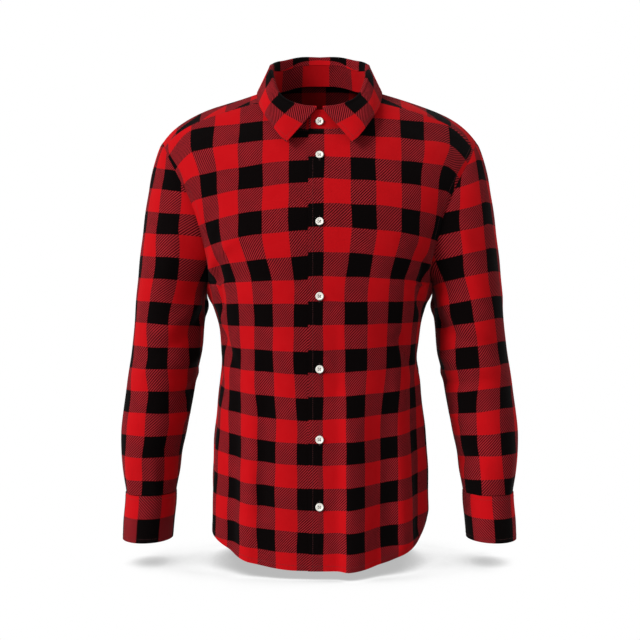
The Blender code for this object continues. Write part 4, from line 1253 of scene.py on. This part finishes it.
def button(name, mesh, at, facing, upright):
    """One button, its thread, and the sewn hole that it passes through."""
    n = np.array(facing.normalized())
    across = unit(np.cross((0.0, 0.0, 1.0) if upright else np.cross(n, (0.0, 0.0, 1.0)), n))
    along = np.cross(n, across)
    for a in (45, 135):
        way = across * math.cos(math.radians(a)) + along * math.sin(math.radians(a))
        BUTTON_THREAD.append((np.array(at) + n * BUTTON_THICK * THREAD_LIES, way, n, HOLE_OUT))
    rows = np.arange(-HOLE_LONG / 2, HOLE_LONG / 2, HOLE_PITCH)
    for step in rows:
        for side in (-1, 1):
            middle = np.array(at) + along * step + across * side * HOLE_WIDE / 4
            HOLE_STITCHES.append((middle - n * HOLE_SUNK, across, n, HOLE_WIDE / 4))
    for end in (-1, 1):
        for step in range(3):
            middle = np.array(at) + along * end * (HOLE_LONG / 2 + step * HOLE_PITCH)
            HOLE_STITCHES.append((middle - n * HOLE_SUNK, across, n, HOLE_WIDE / 2))
    piece = add("look_" + name, mesh.copy())
    piece.rotation_mode = "QUATERNION"
    piece.rotation_quaternion = facing.to_track_quat("Z", "Y")
    piece.location = at
    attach(piece, "root")
    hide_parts(name)


def buttons():
    mesh = button_mesh()
    mesh.materials.clear()
    mesh.materials.append(plain("button", (0.86, 0.83, 0.76, 1), 0.28))
    levels = np.linspace(0, 2, 801)
    line = FRONT.place(0.0, levels)[:, 2]
    for i, z in enumerate(BUTTON_Z):
        level = np.interp(z, line, levels)
        n = FRONT.normal(np.float64(0.0), level)
        at = FRONT.cloth(np.float64(0.0), level) + n * BUTTON_CLEAR
        button(f"button_{i + 2}", mesh, Vector(at), Vector(n), True)
    middle = stand_point(np.float64(0.0), np.float64(STAND_BUTTON_UP))
    button("button_1", mesh, Vector(middle) + Vector((0, -BUTTON_CLEAR, 0)), Vector((0, -1, 0.03)),
           False)
    share = np.array([CUFF_OPENING / 360])
    a, b = (ring(CUFF, share, CUFF_BUTTON_Z + 0 * share, grow)[0] for grow in (0.0, 0.001))
    n = unit(b - a)
    for side, word in SIDES.items():
        button("button_cuff_" + word, mesh,
               Vector((a + n * CUFF_BUTTON_CLEAR) * (side, 1, 1)), Vector(n * (side, 1, 1)), False)
    thread("buttonholes", HOLE_STITCHES, THREAD, plain("silk", (0.030, 0.0018, 0.0026, 1), 0.7))
    thread("button_thread", BUTTON_THREAD, 2 * THREAD, plain("linen", (0.42, 0.40, 0.36, 1), 0.7))


# ---- stage ----------------------------------------------------------------------------------

def camera():
    lens = bpy.data.cameras.new("camera")
    lens.sensor_width = 36
    lens.lens = 36 * FOCAL_PIXELS / PICTURE
    lens.shift_x = (PICTURE / 2 - MIDDLE_PIXEL) / PICTURE
    lens.clip_start = 0.05
    eye = add("camera", lens)
    eye.location = (0, -VIEW_DISTANCE, VIEW_HEIGHT)
    eye.rotation_euler = (math.pi / 2, 0, 0)
    bpy.context.scene.camera = eye


def sun(name, source, strength, softness):
    """A soft directional light, from source towards the origin."""
    light = bpy.data.lights.new(name, "SUN")
    light.energy, light.angle = strength, math.radians(softness)
    holder = add(name, light)
    holder.location = source
    holder.rotation_euler = Vector(source).to_track_quat("Z", "Y").to_euler()


# Brightness of the studio, from straight down (0) to straight up (1).
STUDIO = ((0.30, 0.20), (0.47, 1.0), (0.66, 1.0), (0.76, 0.28))


def floor_material():
    """White and self-lit, like a light table, darker only close under the shirt: a painted contact
    shadow, from how much of the world the shirt hides there.
    """
    n = Nodes(bpy.data.materials.new("floor"))
    near = n.new("AmbientOcclusion", "AO", {"Distance": 0.40}, samples=32)
    shade = n.soft_step(near, 0.32, 0.66)
    return n.surface({"Emission Strength": n.math("MULTIPLY_ADD", shade, -0.52, 1.0),
                      "Emission Color": (1, 1, 1, 1), "Base Color": (0, 0, 0, 1),
                      "Specular IOR Level": 0.0})


def studio():
    """The world: white round the horizon, dimmer overhead and below."""
    n = Nodes(bpy.data.worlds.new("studio"), "Background")
    _, _, up = n.split(n.new("TexCoord", "Generated", {}))
    bands = n.new("ValToRGB", "Color", {"Fac": n.math("MULTIPLY_ADD", up, 0.5, 0.5)})
    ramp = bands.node.color_ramp
    for at, _ in STUDIO[2:]:
        ramp.elements.new(at)
    for element, (at, tone) in zip(ramp.elements, STUDIO):
        element.position, element.color = at, (tone, tone, tone, 1)
    return n.surface({"Strength": bands, "Color": (1, 1, 1, 1)})


def stage():
    reach, height = 12.0, CAD_BOX[0][2] - 0.004
    corners = [(x * reach, y * reach, height) for x, y in ((-1, -1), (1, -1), (1, 1), (-1, 1))]
    mesh = new_mesh("floor", corners, [(0, 1, 2, 3)])
    mesh.materials.append(floor_material())
    floor = add("floor", mesh)
    floor.visible_diffuse = False
    bpy.context.scene.world = studio()
    sun("key", (-0.78, -0.56, 0.48), 3.2, 24)
    sun("fill", (0.75, 0.52, 0.40), 0.7, 40)
    bpy.context.scene.view_settings.view_transform = "Standard"


camera()
stage()

pieces = {
    "front_left": front(1), "front_right": front(-1), "back": back(), "yoke": yoke(),
    "collar_stand": stand(), "collar": fall(),
}
for side, word in SIDES.items():
    pieces["sleeve_" + word] = sleeve(side)
    pieces["cuff_" + word] = cuff(side)
    pieces["sleeve_placket_" + word] = placket(side)

# Each kind of piece: the cut of what shows, its area, and the piece that it hangs on.
Cut = namedtuple("Cut", "width length area hangs_on")
CUTS = {
    "front": Cut(0.26, 0.72, 0.152, "yoke"),
    "back": Cut(0.48, 0.66, 0.262, "yoke"),
    "yoke": Cut(0.50, 0.20, 0.075, "collar_stand"),
    "collar_stand": Cut(0.48, 0.034, 0.0155, "yoke"),
    "collar": Cut(0.60, 0.085, 0.036, "collar_stand"),
    "sleeve": Cut(0.46, 0.56, 0.175, "yoke"),
    "cuff": Cut(0.29, 0.067, 0.0194, "sleeve"),
    "sleeve_placket": Cut(0.024, 0.115, 0.0027, "sleeve"),
}
COTTON = plain("cotton", (0.062, 0.0018, 0.0028, 1), 0.8)
for node, piece in pieces.items():
    side = next(("_" + word for word in SIDES.values() if node.endswith("_" + word)), "")
    runs = STITCHES[node]
    sewn = [thread("stitches_" + node, runs, THREAD, COTTON)] if runs else []
    declare(piece, node, CUTS[node.removesuffix(side)], side)
buttons()
